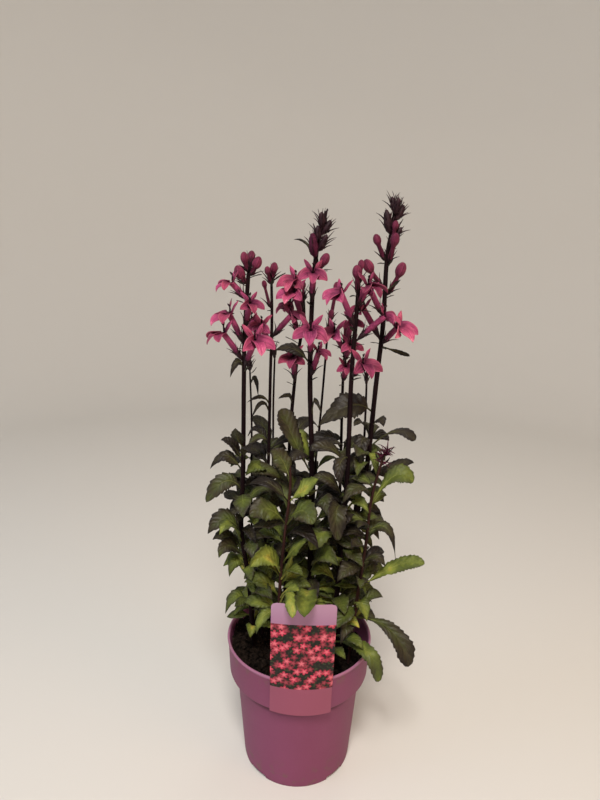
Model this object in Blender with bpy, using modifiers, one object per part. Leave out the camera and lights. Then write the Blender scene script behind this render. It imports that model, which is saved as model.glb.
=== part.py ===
"""A potted bog plant: dark stems with pink flower spikes, in a plastic nursery pot with a card label.

Metres, +Z up. The origin is the centre of the pot's foot, on the surface that it stands on.
The plant's places are given in millimetres and turned into metres as the pieces are made.
"""
import math
import random

import bmesh
import bpy
from mathutils import Matrix, Vector
from mathutils.bvhtree import BVHTree

MM = 0.001
GAP = 0.3 * MM  # between pieces that touch
SMOOTH_UP_TO = math.radians(40)

# Finishes: linear colour and roughness.
PLASTIC = ((0.24, 0.08, 0.13), 0.5)
SOIL = ((0.01, 0.006, 0.005), 0.95)
CARD = ((0.35, 0.1, 0.16), 0.35)
LEAF_GREEN = ((0.1, 0.12, 0.04), 0.5)
DARK_STEM = ((0.02, 0.01, 0.012), 0.45)
PETAL_PINK = ((0.7, 0.07, 0.2), 0.5)

# The pot: (radius, height) down the outside and the inside, in millimetres.
POT_SIDES = 28
POT_TOP = 142.0
POT_FLOOR = 5.5
POT_FOOT_CLEARANCE = 4.0
POT_INSIDE = [(53.4, POT_FLOOR), (62.4, 101.5), (69.6, 105.5), (71.2, 139.0), (71.8, POT_TOP)]
POT_LIP = [(73.4, POT_TOP), (74.0, 140.8), (72.9, 139.2)]
POT_OUTSIDE = [(71.4, 104.5), (64.0, 101.0), (56.8, 7.0), (56.3, 2.5), (55.5, 0.0)]
POT_UNDERSIDE = [(50.0, 0.0), (48.5, POT_FOOT_CLEARANCE), (20.0, POT_FOOT_CLEARANCE), (18.5, 0.0)]
NOTCH_COUNT = 4
NOTCH_WIDTH = 22.0
NOTCH_DEPTH = 16.0
NOTCH_MIDDLE = 55.0
DRAIN_RADIUS = 4.0
DRAIN_CIRCLE = 36.0
DRAIN_CUT = 10.0
DRAIN_SIDES = 6

# The potting soil.
SOIL_SIDES = 18
SOIL_LEVEL = 121.0
SOIL_TILT = (-5.0, -3.0)  # how far it rises towards the left and the front edge
SOIL_RINGS = (0.7, 0.35)  # rings of the surface, as shares of its radius
SOIL_LUMP = 2.2
SOIL_EDGE = 115.0  # the height at which the surface's radius is taken
SOCKET_LENGTH = 38.0
SOCKET_SIDES = 5

# The card label: a tall card in front of the pot, hooked over the rim by a tongue.
LABEL_WIDTH = 58.0
LABEL_BOTTOM = 103.5
LABEL_TOP = 229.0
LABEL_THICK = 0.8
LABEL_CORNER = 4.0
LABEL_COLUMNS = 6
LABEL_ROWS = (LABEL_BOTTOM, 122.0, 142.0, 175.0, LABEL_TOP - LABEL_CORNER, LABEL_TOP)
LABEL_LEAN = 0.075  # how far its front comes out for each unit of height
LABEL_TURN = math.radians(0.5)
LABEL_MIDDLE = 2.0
LABEL_AROUND = 75.0  # radius of the collar that it lies on
LABEL_CURLED_TO = 125.0  # it follows the collar up to here, and flattens above
LABEL_FLATTENING = 60.0
LABEL_LEAST_CURL = 0.35
TONGUE_WIDTH = 18.0
TONGUE_THICK = 0.8
TONGUE_LINE = (  # the places (y, z) that the tongue passes, from the card's back down into the pot
    (-75.4, 150.0), (-75.4, 144.2), (-74.2, 145.4), (-70.6, 145.4), (-69.4, 144.2), (-68.4, 131.0),
)

# A leaf that would touch its neighbour gives way along the line to this point, in front of the
# plant, so that the plant keeps its outline from there.
VIEW_POINT = Vector((-5.0, -538.0, 540.0))
CLEARANCE = 0.9
DEPTH_STEPS = range(0, 25, 3)
MIDDLE_SHARE = 0.6  # how much of that the leaf's middle takes

# Stems: diameter at the foot, and the points that the stem grows through. The first is in the soil.
STEMS = {
    "a": (4.8, [(-44, -6, 106), (-48, -8, 154), (-52, -8, 207), (-59, -8, 262), (-57, -8, 324),
                (-56, -8, 411), (-55, -8, 457), (-51, -8, 516)]),
    "b": (2.4, [(-46, 24, 106), (-51, 27, 160), (-52, 28, 309), (-52, 28, 362), (-54, 28, 420)]),
    "c": (3.6, [(-38, 10, 106), (-39, 10, 147), (-36, 10, 263), (-34, 10, 327), (-33, 10, 407),
                (-32, 10, 464), (-33, 10, 506)]),
    "d": (2.6, [(-31, 31, 106), (-32, 34, 155), (-31, 35, 328), (-31, 35, 381), (-30, 35, 431)]),
    "e": (4.0, [(-19, 17, 106), (-17, 18, 154), (-15, 18, 214), (-14, 18, 339), (-10, 18, 406),
                (-7, 18, 435), (-3, 18, 463), (-4, 18, 490)]),
    "f": (5.2, [(9, -3, 106), (9, -4, 182), (8, -4, 320), (4, -4, 412), (4, -4, 484),
                (6, -4, 517), (8, -4, 535), (15, -4, 561)]),
    "g": (2.8, [(12, 30, 106), (13, 33, 156), (12, 34, 297), (15, 34, 348), (18, 34, 403),
                (21, 34, 466)]),
    "h": (3.4, [(37, 21, 106), (40, 22, 153), (39, 22, 213), (37, 22, 332), (36, 22, 406),
                (37, 22, 449)]),
    "i": (5.2, [(31, -12, 106), (36, -12, 188), (41, -12, 311), (41, -12, 414), (43, -12, 477),
                (44, -12, 507)]),
    "j": (3.0, [(46, 33, 106), (56, 38, 154), (61, 40, 307), (61, 40, 387), (60, 40, 407)]),
    "k": (5.2, [(41, 5, 106), (46, 6, 176), (55, 6, 301), (61, 6, 318), (66, 6, 410),
                (69, 6, 462), (69, 6, 518), (72, 6, 545), (75, 6, 571)]),
    "l": (3.4, [(49, -20, 106), (56, -22, 202), (61, -22, 254), (64, -22, 303), (72, -22, 342),
                (76, -22, 352)]),
    "m": (3.4, [(-21, -33, 106), (-20, -36, 209), (-17, -36, 260), (-12, -36, 313),
                (-12, -36, 340)]),
}
STEM_STATIONS = 8
CURVE_STEPS = 10
STEM_TOP_SHARE = 0.5  # top diameter over foot diameter
THICK_STEM = 3.8  # a stem thicker than this has six sides, and a thinner one four

# Broad leaves: stem, height of the foot on it, middle, tip, width, and how far the blade turns its
# face to the front in degrees. Those marked True are large enough to be pieces of their own.
LEAVES = [
    ("a", 332, (-67, -12, 351), (-77, -14, 355), 11, 35, False),
    ("a", 324, (-73, -14, 340), (-87, -16, 327), 12, 35, False),
    ("a", 348, (-61, -20, 360), (-62, -26, 371), 11, 0, False),
    ("a", 305, (-74, -14, 314), (-91, -18, 294), 16, 40, True),
    ("a", 261, (-75, -14, 275), (-90, -20, 262), 18, 40, True),
    ("a", 250, (-67, -30, 278), (-76, -40, 272), 13, 30, False),
    ("a", 241, (-73, -12, 256), (-86, -16, 254), 14, 35, False),
    ("a", 232, (-69, -28, 255), (-77, -38, 247), 14, 40, False),
    ("a", 219, (-63, -18, 234), (-69, -26, 220), 13, 30, False),
    ("a", 176, (-64, -14, 192), (-74, -20, 175), 11, 30, False),
    ("m", 190, (-34, -46, 192), (-41, -52, 176), 10, 30, False),
    ("c", 308, (-42, -6, 328), (-54, -16, 321), 14, 35, False),
    ("e", 282, (-19, 2, 308), (-25, -4, 325), 14, 0, False),
    ("m", 327, (-20, -38, 347), (-30, -42, 356), 16, 50, False),
    ("m", 283, (-31, -50, 304), (-46, -58, 300), 18, 45, True),
    ("m", 233, (-32, -54, 259), (-46, -66, 255), 17, 40, True),
    ("c", 164, (-43, -4, 191), (-49, -12, 185), 10, 20, False),
    ("c", 166, (-36, -8, 193), (-33, -16, 208), 10, 20, False),
    ("m", 206, (-10, -50, 225), (-1, -62, 229), 10, 30, False),
    ("m", 306, (2, -44, 323), (13, -50, 334), 14, 35, True),
    ("m", 283, (-1, -50, 303), (9, -62, 296), 20, 35, True),
    ("f", 280, (19, -18, 299), (25, -30, 285), 16, 30, False),
    ("i", 288, (31, -36, 298), (33, -44, 271), 16, 10, True),
    ("i", 282, (50, -24, 302), (61, -34, 294), 11, 30, False),
    ("f", 243, (16, -30, 272), (8, -46, 262), 23, 10, True),
    ("m", 243, (-5, -46, 265), (6, -54, 278), 13, 35, False),
    ("f", 216, (20, -30, 249), (34, -44, 245), 18, 35, True),
    ("m", 226, (-12, -44, 243), (-8, -50, 262), 7, 0, False),
    ("e", 188, (-3, -6, 222), (5, -16, 239), 10, 30, False),
    ("h", 206, (49, 8, 232), (60, -4, 229), 13, 35, False),
    ("f", 322, (-11, -2, 356), (-22, 2, 382), 18, 30, True),
    ("e", 350, (-4, 6, 357), (4, -2, 334), 10, 20, False),
    ("k", 380, (41, 2, 386), (12, -2, 366), 25, 50, True),
    ("h", 338, (23, 12, 352), (10, 4, 343), 17, 40, True),
    ("i", 341, (33, -24, 337), (34, -30, 318), 11, 10, False),
    ("k", 351, (54, -8, 355), (53, -16, 329), 13, 20, False),
    ("m", 199, (-11, -70, 233), (-7, -94, 224), 11, 0, False),
    ("f", 189, (6, -50, 221), (3, -92, 224), 17, 0, False),
    ("l", 298, (83, -26, 328), (100, -30, 324), 16, 40, True),
    ("l", 209, (91, -30, 239), (115, -38, 246), 13, 40, True),
    ("k", 345, (86, 2, 362), (105, -2, 355), 10, 35, True),
    ("k", 308, (90, 2, 328), (105, -2, 332), 10, 35, False),
    ("k", 339, (66, -8, 338), (68, -14, 324), 8, 0, False),
    ("k", 368, (70, -4, 376), (73, -10, 370), 10, 20, False),
    ("l", 270, (79, -30, 277), (88, -36, 249), 13, 30, False),
    ("l", 237, (70, -30, 248), (79, -36, 241), 12, 30, False),
    ("l", 176, (88, -34, 171), (105, -50, 142), 14, 30, True),
    ("i", 141, (63, -52, 161), (75, -62, 134), 13, 30, True),
    ("l", 188, (59, -34, 200), (64, -42, 185), 14, 10, False),
    ("i", 148, (51, -36, 163), (62, -44, 155), 12, 20, False),
    ("i", 134, (37, -50, 159), (44, -58, 155), 8, 0, False),
    ("i", 156, (42, -20, 184), (50, -22, 206), 8, 0, False),
    ("k", 143, (52, -6, 176), (62, -10, 196), 8, 0, False),
]

# Narrow upper leaves and bracts on the bare part of the stems: stem, foot, middle, tip, width.
BRACTS = [
    ("a", 424, (-62, -10, 428), (-68, -12, 414), 6),
    ("b", 400, (-48, 23, 405), (-45, 20, 389), 4),
    ("c", 385, (-42, 6, 392), (-54, 2, 387), 4),
    ("c", 378, (-41, 4, 386), (-50, 0, 372), 4),
    ("f", 428, (-12, -8, 441), (-28, -10, 439), 9),
    ("f", 380, (9, -10, 394), (15, -14, 382), 4),
    ("f", 520, (-3, -8, 533), (-13, -10, 535), 3),
    ("k", 442, (88, 2, 437), (94, 0, 435), 4),
    ("k", 492, (76, 2, 498), (81, 0, 503), 4),
    ("e", 383, (-16, 10, 392), (-25, 4, 391), 5),
]

# Open flowers: stem, height of the foot on it, mouth of the flower tube, and size of its lobes.
FLOWERS = [
    ("a", 483, (-66, -12, 498), 12),
    ("a", 458, (-49, -24, 482), 11),
    ("a", 443, (-68, -14, 471), 15),
    ("a", 446, (-50, 8, 462), 10),
    ("a", 428, (-73, -18, 455), 14),
    ("a", 422, (-44, -34, 452), 16),
    ("c", 447, (-14, -2, 470), 12),
    ("e", 470, (-11, 4, 500), 15),
    ("e", 461, (-12, -4, 490), 14),
    ("e", 444, (-16, 2, 478), 11),
    ("e", 404, (-12, 4, 431), 13),
    ("f", 482, (4, -16, 508), 13),
    ("f", 430, (3, -32, 461), 16),
    ("i", 461, (28, -24, 492), 14),
    ("h", 433, (25, 6, 454), 14),
    ("h", 424, (40, 4, 443), 11),
    ("i", 479, (51, -24, 499), 14),
    ("k", 448, (49, -8, 478), 11),
    ("i", 449, (67, -18, 473), 12),
    ("i", 417, (49, -30, 433), 15),
    ("k", 470, (55, -6, 493), 9),
    ("k", 444, (80, -8, 462), 17),
    ("c", 438, (-40, -12, 461), 12),
    ("h", 404, (37, 8, 422), 9),
    ("f", 414, (11, -16, 440), 9),
    ("h", 434, (40, 0, 465), 10),
]

# Closed buds: stem, height of the foot on it, centre of the head, and head diameter.
BUDS = [
    ("a", 507, (-55, -14, 522), 6), ("a", 512, (-49, -8, 523), 6), ("a", 504, (-43, -12, 518), 7),
    ("a", 497, (-60, -14, 510), 8), ("c", 500, (-30, 6, 513), 6), ("c", 496, (-36, 2, 510), 5),
    ("c", 474, (-39, 4, 498), 4), ("e", 423, (-13, 8, 438), 4), ("e", 482, (-4, 16, 497), 4),
    ("f", 520, (3, -10, 538), 7), ("f", 508, (15, -10, 522), 7), ("g", 450, (23, 30, 470), 5),
    ("g", 456, (27, 28, 496), 5), ("h", 440, (36, 20, 462), 5), ("i", 491, (41, -18, 513), 7),
    ("i", 499, (45, -12, 518), 5), ("k", 518, (58, 0, 539), 6), ("k", 497, (51, 0, 517), 8),
    ("k", 488, (82, 0, 515), 8), ("k", 536, (79, 4, 546), 4), ("k", 516, (74, -4, 540), 7),
    ("k", 541, (66, 2, 559), 6), ("k", 529, (74, 0, 551), 5), ("d", 423, (-31, 32, 436), 3),
    ("j", 398, (60, 38, 411), 3), ("b", 412, (-54, 26, 422), 4), ("f", 545, (10, -10, 556), 5),
    ("f", 540, (17, -6, 550), 5), ("f", 532, (7, -8, 545), 5), ("f", 526, (14, -11, 538), 5),
    ("k", 558, (75, 0, 569), 5), ("k", 560, (71, 8, 571), 4), ("k", 553, (80, 6, 564), 5),
]

# Young spiky tops: stem, height where the spikes start, number of spikes and their length.
SPIKY_TOPS = [("f", 530, 3, 11), ("k", 545, 3, 12), ("l", 337, 6, 10), ("b", 409, 2, 8)]

# Leaves that fill the bush behind and beside the ones above: stem, lowest, highest, how many.
FILL = [
    ("a", 160, 330, 3), ("b", 175, 325, 4), ("c", 160, 340, 4), ("d", 175, 340, 3),
    ("e", 160, 340, 4), ("f", 150, 345, 4), ("g", 170, 345, 3), ("h", 165, 345, 4),
    ("i", 160, 330, 3), ("j", 170, 345, 4), ("k", 170, 350, 3), ("l", 165, 300, 2),
    ("m", 160, 300, 2),
]
GOLDEN_ANGLE = math.radians(137.5)
FILL_LENGTHS = (38, 52)
FILL_RISE = (0.35, 0.65)
FILL_WIDTH = (0.36, 0.42)  # share of the leaf's length
FILL_TURN = 20
CROWDED = -25.0  # a leaf that grows this far back over the pot is shorter
CROWDED_SHARE = 0.7
SPIKE_WIDTH = 2.2

LEAF_STATIONS = ((0.0, 0.12), (0.22, 0.62), (0.5, 1.0), (0.78, 0.66))  # place and share of width
SMALL_LEAF_STATIONS = ((0.0, 0.12), (0.32, 0.85), (0.68, 0.85))
FILL_STATIONS = ((0.0, 0.1), (0.5, 1.0))
NARROW_LEAF = 12  # a fused leaf up to this width has a blade as simple as the filling ones
BRACT_STATIONS = ((0.0, 0.3), (0.45, 1.0))
FOOT_SHARE = 0.13  # the share of a fused leaf's length that may touch its stem
PETIOLE_WIDTH = 1.6
KEEL = 0.8  # how far a blade's underside lies below its middle, and its top above it
CROWN = 0.3
ROOTED = -0.5  # how far a fused piece starts inside its stem, and a leaf of its own beside it
STANDS_OFF = 1.3

# Flowers and buds. FLOWER_START is the share of a flower's curve that its stalk and cup take.
FLOWER_START = 0.3
CUP_RINGS = ((0.0, 0.7), (0.18, 1.1), (FLOWER_START, 1.9))  # place on the curve and radius
CUP_SIDES = 4
TUBE_START = 1.4
MOUTH_RINGS = ((0.8, 2.3), (0.0, 2.5))  # distance behind the mouth and radius
TUBE_SAG = 0.06
FACES_UP = 0.3
LOBE_ROOT = 2.3
LOBE_THICK = 0.9
LOBES = (  # angle around the mouth, then forward, upward, sideways, length, width and droop
    (36, (-0.1, 0.8, 0.55), 0.95, 0.3, 0.0),
    (108, (0.5, -0.35, 0.8), 1.0, 0.6, 0.2),
    (180, (0.8, -0.6, 0.0), 1.0, 0.62, 0.25),
    (252, (0.5, -0.35, -0.8), 1.0, 0.6, 0.2),
    (324, (-0.1, 0.8, -0.55), 0.95, 0.3, 0.0),
)
BUD_STALK = ((0.0, 0.7), (0.5, 1.2))
BUD_HEAD = 0.86
BUD_SAG = 0.12
BUD_POINT = 0.4


def metres(point):
    return Vector(point) * MM


def material(name, colour, roughness):
    made = bpy.data.materials.new(name)
    made.use_nodes = True
    shader = made.node_tree.nodes["Principled BSDF"]
    shader.inputs["Base Color"].default_value = (*colour, 1.0)
    shader.inputs["Roughness"].default_value = roughness
    return made


def collection(name, parent=None):
    made = bpy.data.collections.new(name)
    (parent or bpy.context.scene.collection).children.link(made)
    return made


def add_object(name, mesh, group, finish):
    """An object with a material of its own. finish is a colour and a roughness."""
    made = bpy.data.objects.new(name, mesh)
    group.objects.link(made)
    mesh.materials.clear()
    mesh.materials.append(material(name, *finish))
    mesh.shade_smooth()
    mesh.set_sharp_from_angle(angle=SMOOTH_UP_TO)
    return made


def mesh_from(name, bm):
    bmesh.ops.recalc_face_normals(bm, faces=bm.faces)
    mesh = bpy.data.meshes.new(name)
    bm.to_mesh(mesh)
    bm.free()
    return mesh


def helper(name, mesh, group=None):
    """An object that only cuts or is fused into another."""
    made = add_object(name, mesh, group or HELPERS, LEAF_GREEN)
    made.hide_render = True
    made.display_type = "WIRE"
    return made


def fuse_or_cut(target, tool, operation):
    modifier = target.modifiers.new(operation.lower(), "BOOLEAN")
    modifier.operation = operation
    modifier.object = tool


# Curves

def smooth_path(points):
    """STEM_STATIONS points, evenly spaced along a smooth curve through the given ones."""
    ends = [points[0] * 2 - points[1], *points, points[-1] * 2 - points[-2]]
    path = []
    for before, start, end, after in zip(ends, ends[1:], ends[2:], ends[3:]):
        for step in range(CURVE_STEPS):
            t = step / CURVE_STEPS
            pull = (end - before) * t + (2 * before - 5 * start + 4 * end - after) * t**2
            pull += (3 * start - before - 3 * end + after) * t**3
            path.append(start + pull * 0.5)
    path.append(points[-1])
    last = len(path) - 1
    return [path[round(i * last / (STEM_STATIONS - 1))] for i in range(STEM_STATIONS)]


def at_height(path, height):
    """The point of a rising path at a height."""
    for low, high in zip(path, path[1:]):
        if low.z <= height <= high.z:
            return low.lerp(high, (height - low.z) / max(high.z - low.z, 1e-9))
    return path[0] if height < path[0].z else path[-1]


def stem_radius(stem, height):
    foot, top = STEM_PATHS[stem][0].z, STEM_PATHS[stem][-1].z
    share = min(max((height - foot) / (top - foot), 0.0), 1.0)
    return STEMS[stem][0] * MM / 2 * (1 - (1 - STEM_TOP_SHARE) * share)


def bow(start, middle, end, t):
    """A point and the direction there, on the curve from start through middle to end."""
    knee = middle * 2 - (start + end) * 0.5
    point = start * (1 - t) ** 2 + knee * (2 * t * (1 - t)) + end * t**2
    along = (knee - start) * (1 - t) + (end - knee) * t
    return point, along.normalized()


# Lofts

def loft(rings, tip=None):
    """A closed shell through rings of points, ending in a point or in a face."""
    bm = bmesh.new()
    loops = [[bm.verts.new(point) for point in ring] for ring in rings]
    count = len(rings[0])
    for lower, upper in zip(loops, loops[1:]):
        for i in range(count):
            j = (i + 1) % count
            bm.faces.new((lower[i], lower[j], upper[j], upper[i]))
    bm.faces.new(loops[0])
    if tip is None:
        bm.faces.new(loops[-1])
    else:
        point = bm.verts.new(tip)
        for i in range(count):
            bm.faces.new((loops[-1][i], loops[-1][(i + 1) % count], point))
    return bm


def round_ring(centre, along, towards, radius, sides):
    """A ring square to along, whose first point lies level and to the side of towards."""
    across = Vector((towards.y, -towards.x, 0.0))
    across = (across - along * along.dot(across)).normalized()
    over = along.cross(across)
    angles = [math.tau * i / sides for i in range(sides)]
    return [centre + (across * math.cos(a) + over * math.sin(a)) * radius for a in angles]


def blade(start, middle, end, width, turn, stations, grow=0.0, begin=0.0):
    """A leaf: flat above, with a keel below. grow swells it, and begin leaves out its foot."""
    outward = Vector((end.x - start.x, end.y - start.y, 0.0)).normalized()
    level = outward.cross(Vector((0.0, 0.0, 1.0)))
    facing = math.radians(turn) * (1.0 if outward.x > 0 else -1.0)
    rings = []
    for t, share in stations:
        point, along = bow(start, middle, end, max(t, begin))
        side = (level - along * level.dot(along)).normalized()
        side = Matrix.Rotation(facing, 3, along) @ side
        up = side.cross(along)
        half = max(width * share, PETIOLE_WIDTH * MM) / 2 + grow
        keel = up * (KEEL * MM + grow)
        crown = up * (CROWN * MM + grow)
        rings.append([point - side * half + crown, point + side * half + crown, point - keel])
    return loft(rings, end + (end - middle).normalized() * grow)


# Where pieces may go

def clear_of(shape, taken, but_stem=None):
    """Whether a shape touches nothing placed so far, leaving out what belongs to one stem."""
    tree = BVHTree.FromBMesh(shape)
    return not any(tree.overlap(other) for owner, other in taken if owner != but_stem)


def shifted(point, depth):
    """The point moved back or forward by depth, on its line to VIEW_POINT."""
    line = point - VIEW_POINT * MM
    return point + line * (depth / line.y)


def depth_choices(middle, tip):
    """The same leaf or flower, nearer or farther, from the smallest change to the largest."""
    for step in DEPTH_STEPS:
        for depth in (step * MM, -step * MM):
            yield shifted(middle, depth * MIDDLE_SHARE), shifted(tip, depth)


def foot_on(stem, height, towards, margin):
    """A foot on the stem's skin, or margin inside it if margin is negative."""
    axis = at_height(STEM_PATHS[stem], height)
    out = Vector((towards.x - axis.x, towards.y - axis.y, 0.0)).normalized()
    return axis + out * (stem_radius(stem, height) + margin)


# The pot, the soil and the label

def make_pot():
    points = [(0.0, POT_FLOOR), *POT_INSIDE, *POT_LIP, *POT_OUTSIDE, *POT_UNDERSIDE, (0.0, 0.0)]
    bm = bmesh.new()
    verts = [bm.verts.new((radius * MM, 0.0, height * MM)) for radius, height in points]
    for start, end in zip(verts, verts[1:]):
        bm.edges.new((start, end))
    mesh = bpy.data.meshes.new("pot")
    bm.to_mesh(mesh)
    bm.free()
    pot = add_object("pot", mesh, PARTS, PLASTIC)
    turn = pot.modifiers.new("turn", "SCREW")
    turn.steps = turn.render_steps = POT_SIDES
    turn.use_merge_vertices = True
    turn.merge_threshold = 0.0001
    turn.use_smooth_shade = True
    cutters = bmesh.new()
    for i in range(NOTCH_COUNT):
        around = Matrix.Rotation(math.radians(45) + math.tau * i / NOTCH_COUNT, 4, "Z")
        place = Matrix.Translation((NOTCH_MIDDLE * MM, 0.0, 0.0))
        size = Matrix.Diagonal((NOTCH_DEPTH * MM, NOTCH_WIDTH * MM, 2 * POT_FOOT_CLEARANCE * MM, 1.0))
        bmesh.ops.create_cube(cutters, size=1.0, matrix=around @ place @ size)
        hole = Matrix.Translation((DRAIN_CIRCLE * MM, 0.0, POT_FLOOR * MM))
        bmesh.ops.create_cone(cutters, cap_ends=True, segments=DRAIN_SIDES, radius1=DRAIN_RADIUS * MM,
                              radius2=DRAIN_RADIUS * MM, depth=DRAIN_CUT * MM, matrix=around @ hole)
    fuse_or_cut(pot, helper("pot_cutters", mesh_from("pot_cutters", cutters)), "DIFFERENCE")


def inside_radius(height):
    """The pot's inner radius at a height, in millimetres."""
    for (low_r, low), (high_r, high) in zip(POT_INSIDE, POT_INSIDE[1:]):
        if low <= height <= high:
            return low_r + (high_r - low_r) * (height - low) / (high - low)
    return POT_INSIDE[0][0]


def soil_height(x, y):
    """Height of the soil's surface in millimetres, at a place in millimetres."""
    lumps = math.sin(x / 7.0 + 1.3) * math.cos(y / 8.5 - 0.4) + 0.6 * math.sin((x + y) / 4.3)
    tilt = (SOIL_TILT[0] * x + SOIL_TILT[1] * y) / 66.0
    return SOIL_LEVEL + tilt + SOIL_LUMP * lumps


def make_soil():
    gap = GAP / MM
    angles = [math.tau * i / SOIL_SIDES for i in range(SOIL_SIDES)]
    rings = []
    for height in (POT_FLOOR + gap, POT_INSIDE[1][1], POT_INSIDE[2][1]):
        radius = inside_radius(height) * math.cos(math.pi / POT_SIDES) - gap
        rings.append([metres((radius * math.cos(a), radius * math.sin(a), height)) for a in angles])
    for share in (1.0, *SOIL_RINGS):
        ring = []
        for a in angles:
            radius = (inside_radius(SOIL_EDGE) * math.cos(math.pi / POT_SIDES) - gap) * share
            x, y = radius * math.cos(a), radius * math.sin(a)
            ring.append(metres((x, y, soil_height(x, y))))
        rings.append(ring)
    mesh = mesh_from("potting_soil", loft(rings, metres((0, 0, soil_height(0, 0)))))
    soil = add_object("potting_soil", mesh, PARTS, SOIL)
    sockets = bmesh.new()
    for stem, (diameter, _) in STEMS.items():
        foot, above = STEM_PATHS[stem][:2]
        along = (above - foot).normalized()
        middle = foot + along * (SOCKET_LENGTH * MM / 2 - GAP)
        turn = along.to_track_quat("Z", "Y").to_matrix().to_4x4()
        radius = diameter * MM / 2 / math.cos(math.pi / SOCKET_SIDES) + GAP
        bmesh.ops.create_cone(sockets, cap_ends=True, segments=SOCKET_SIDES, radius1=radius,
                              radius2=radius, depth=SOCKET_LENGTH * MM,
                              matrix=Matrix.Translation(middle) @ turn)
    fuse_or_cut(soil, helper("soil_sockets", mesh_from("soil_sockets", sockets)), "DIFFERENCE")


def label_point(across, height):
    """A point of the label's front, in millimetres: its place across from the middle, and its height."""
    lean = LABEL_LEAN * (height - POT_TOP)
    wrap = LABEL_AROUND - math.sqrt(LABEL_AROUND**2 - across**2)
    flattened = max(height - LABEL_CURLED_TO, 0.0) / LABEL_FLATTENING
    curl = max(LABEL_LEAST_CURL, 1.0 - flattened)
    y = -LABEL_AROUND - LABEL_THICK - lean + wrap * curl
    shift = math.tan(LABEL_TURN) * (height - LABEL_BOTTOM) + LABEL_MIDDLE
    return across * math.cos(LABEL_TURN) + shift, y, height - across * math.tan(LABEL_TURN)


def make_label():
    top_row = len(LABEL_ROWS) - 1
    bm = bmesh.new()
    bmesh.ops.create_grid(bm, x_segments=LABEL_COLUMNS, y_segments=top_row, size=1.0)
    for vert in bm.verts:
        row = round((vert.co.y + 1) / 2 * top_row)
        half = LABEL_WIDTH / 2 - (LABEL_CORNER if row == top_row else 0.0)
        across = max(-half, min(half, vert.co.x * LABEL_WIDTH / 2))
        vert.co = metres(label_point(across, LABEL_ROWS[row]))
    label = add_object("plant_label", mesh_from("plant_label", bm), PARTS, CARD)
    card = label.modifiers.new("card", "SOLIDIFY")
    card.thickness = LABEL_THICK * MM
    card.offset = 1.0
    tongue = bmesh.new()
    edge = [tongue.verts.new(metres((-TONGUE_WIDTH / 2, y, z))) for y, z in TONGUE_LINE]
    strip = [tongue.edges.new(pair) for pair in zip(edge, edge[1:])]
    widened = bmesh.ops.extrude_edge_only(tongue, edges=strip)["geom"]
    moved = [item for item in widened if isinstance(item, bmesh.types.BMVert)]
    bmesh.ops.translate(tongue, verts=moved, vec=metres((TONGUE_WIDTH, 0, 0)))
    hook = helper("label_tongue", mesh_from("label_tongue", tongue))
    wall = hook.modifiers.new("wall", "SOLIDIFY")
    wall.thickness = TONGUE_THICK * MM
    wall.offset = 0.0
    fuse_or_cut(label, hook, "UNION")


# The plant

def stem_tube(stem):
    """The bare stem, as a mesh made from a curve with a round bevel."""
    path = STEM_PATHS[stem]
    curve = bpy.data.curves.new("stem_" + stem, "CURVE")
    curve.dimensions = "3D"
    curve.bevel_depth = STEMS[stem][0] * MM / 2
    curve.bevel_resolution = 1 if STEMS[stem][0] > THICK_STEM else 0
    curve.use_fill_caps = True
    spline = curve.splines.new("POLY")
    spline.points.add(STEM_STATIONS - 1)
    for point, place in zip(spline.points, path):
        point.co = (*place, 1.0)
        point.radius = stem_radius(stem, place.z) / curve.bevel_depth
    guide = bpy.data.objects.new("stem_guide", curve)
    HELPERS.objects.link(guide)
    bpy.context.view_layer.update()
    mesh = bpy.data.meshes.new_from_object(guide.evaluated_get(bpy.context.evaluated_depsgraph_get()))
    bpy.data.objects.remove(guide)
    bm = bmesh.new()
    bm.from_mesh(mesh)
    bmesh.ops.remove_doubles(bm, verts=bm.verts, dist=0.00001)
    return bm


def curved_rings(start, middle, end, places):
    rings = []
    for t, radius in places:
        point, along = bow(start, middle, end, t)
        rings.append(round_ring(point, along, end - start, radius * MM, CUP_SIDES))
    return rings


def cup(start, middle, end):
    """The stalk and the green cup that hold a flower."""
    return loft(curved_rings(start, middle, end, CUP_RINGS))


def bud(start, head, diameter):
    """A club: a thin stalk that swells into a round head."""
    sag = (head - start).length * BUD_SAG
    middle = (start + head) * 0.5 - Vector((0.0, 0.0, sag))
    rings = curved_rings(start, middle, head, (*BUD_STALK, (BUD_HEAD, diameter / 2)))
    return loft(rings, head + (head - middle).normalized() * diameter * BUD_POINT * MM)


def flower_frame(mouth, stem_point):
    """Forward, up and side of a flower's mouth: it faces away from its stem, a little upwards."""
    out = Vector((mouth.x - stem_point.x, mouth.y - stem_point.y, 0.0)).normalized()
    forward = (out + Vector((0.0, 0.0, FACES_UP))).normalized()
    side = forward.cross(Vector((0.0, 0.0, 1.0))).normalized()
    return forward, side.cross(forward), side


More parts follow.
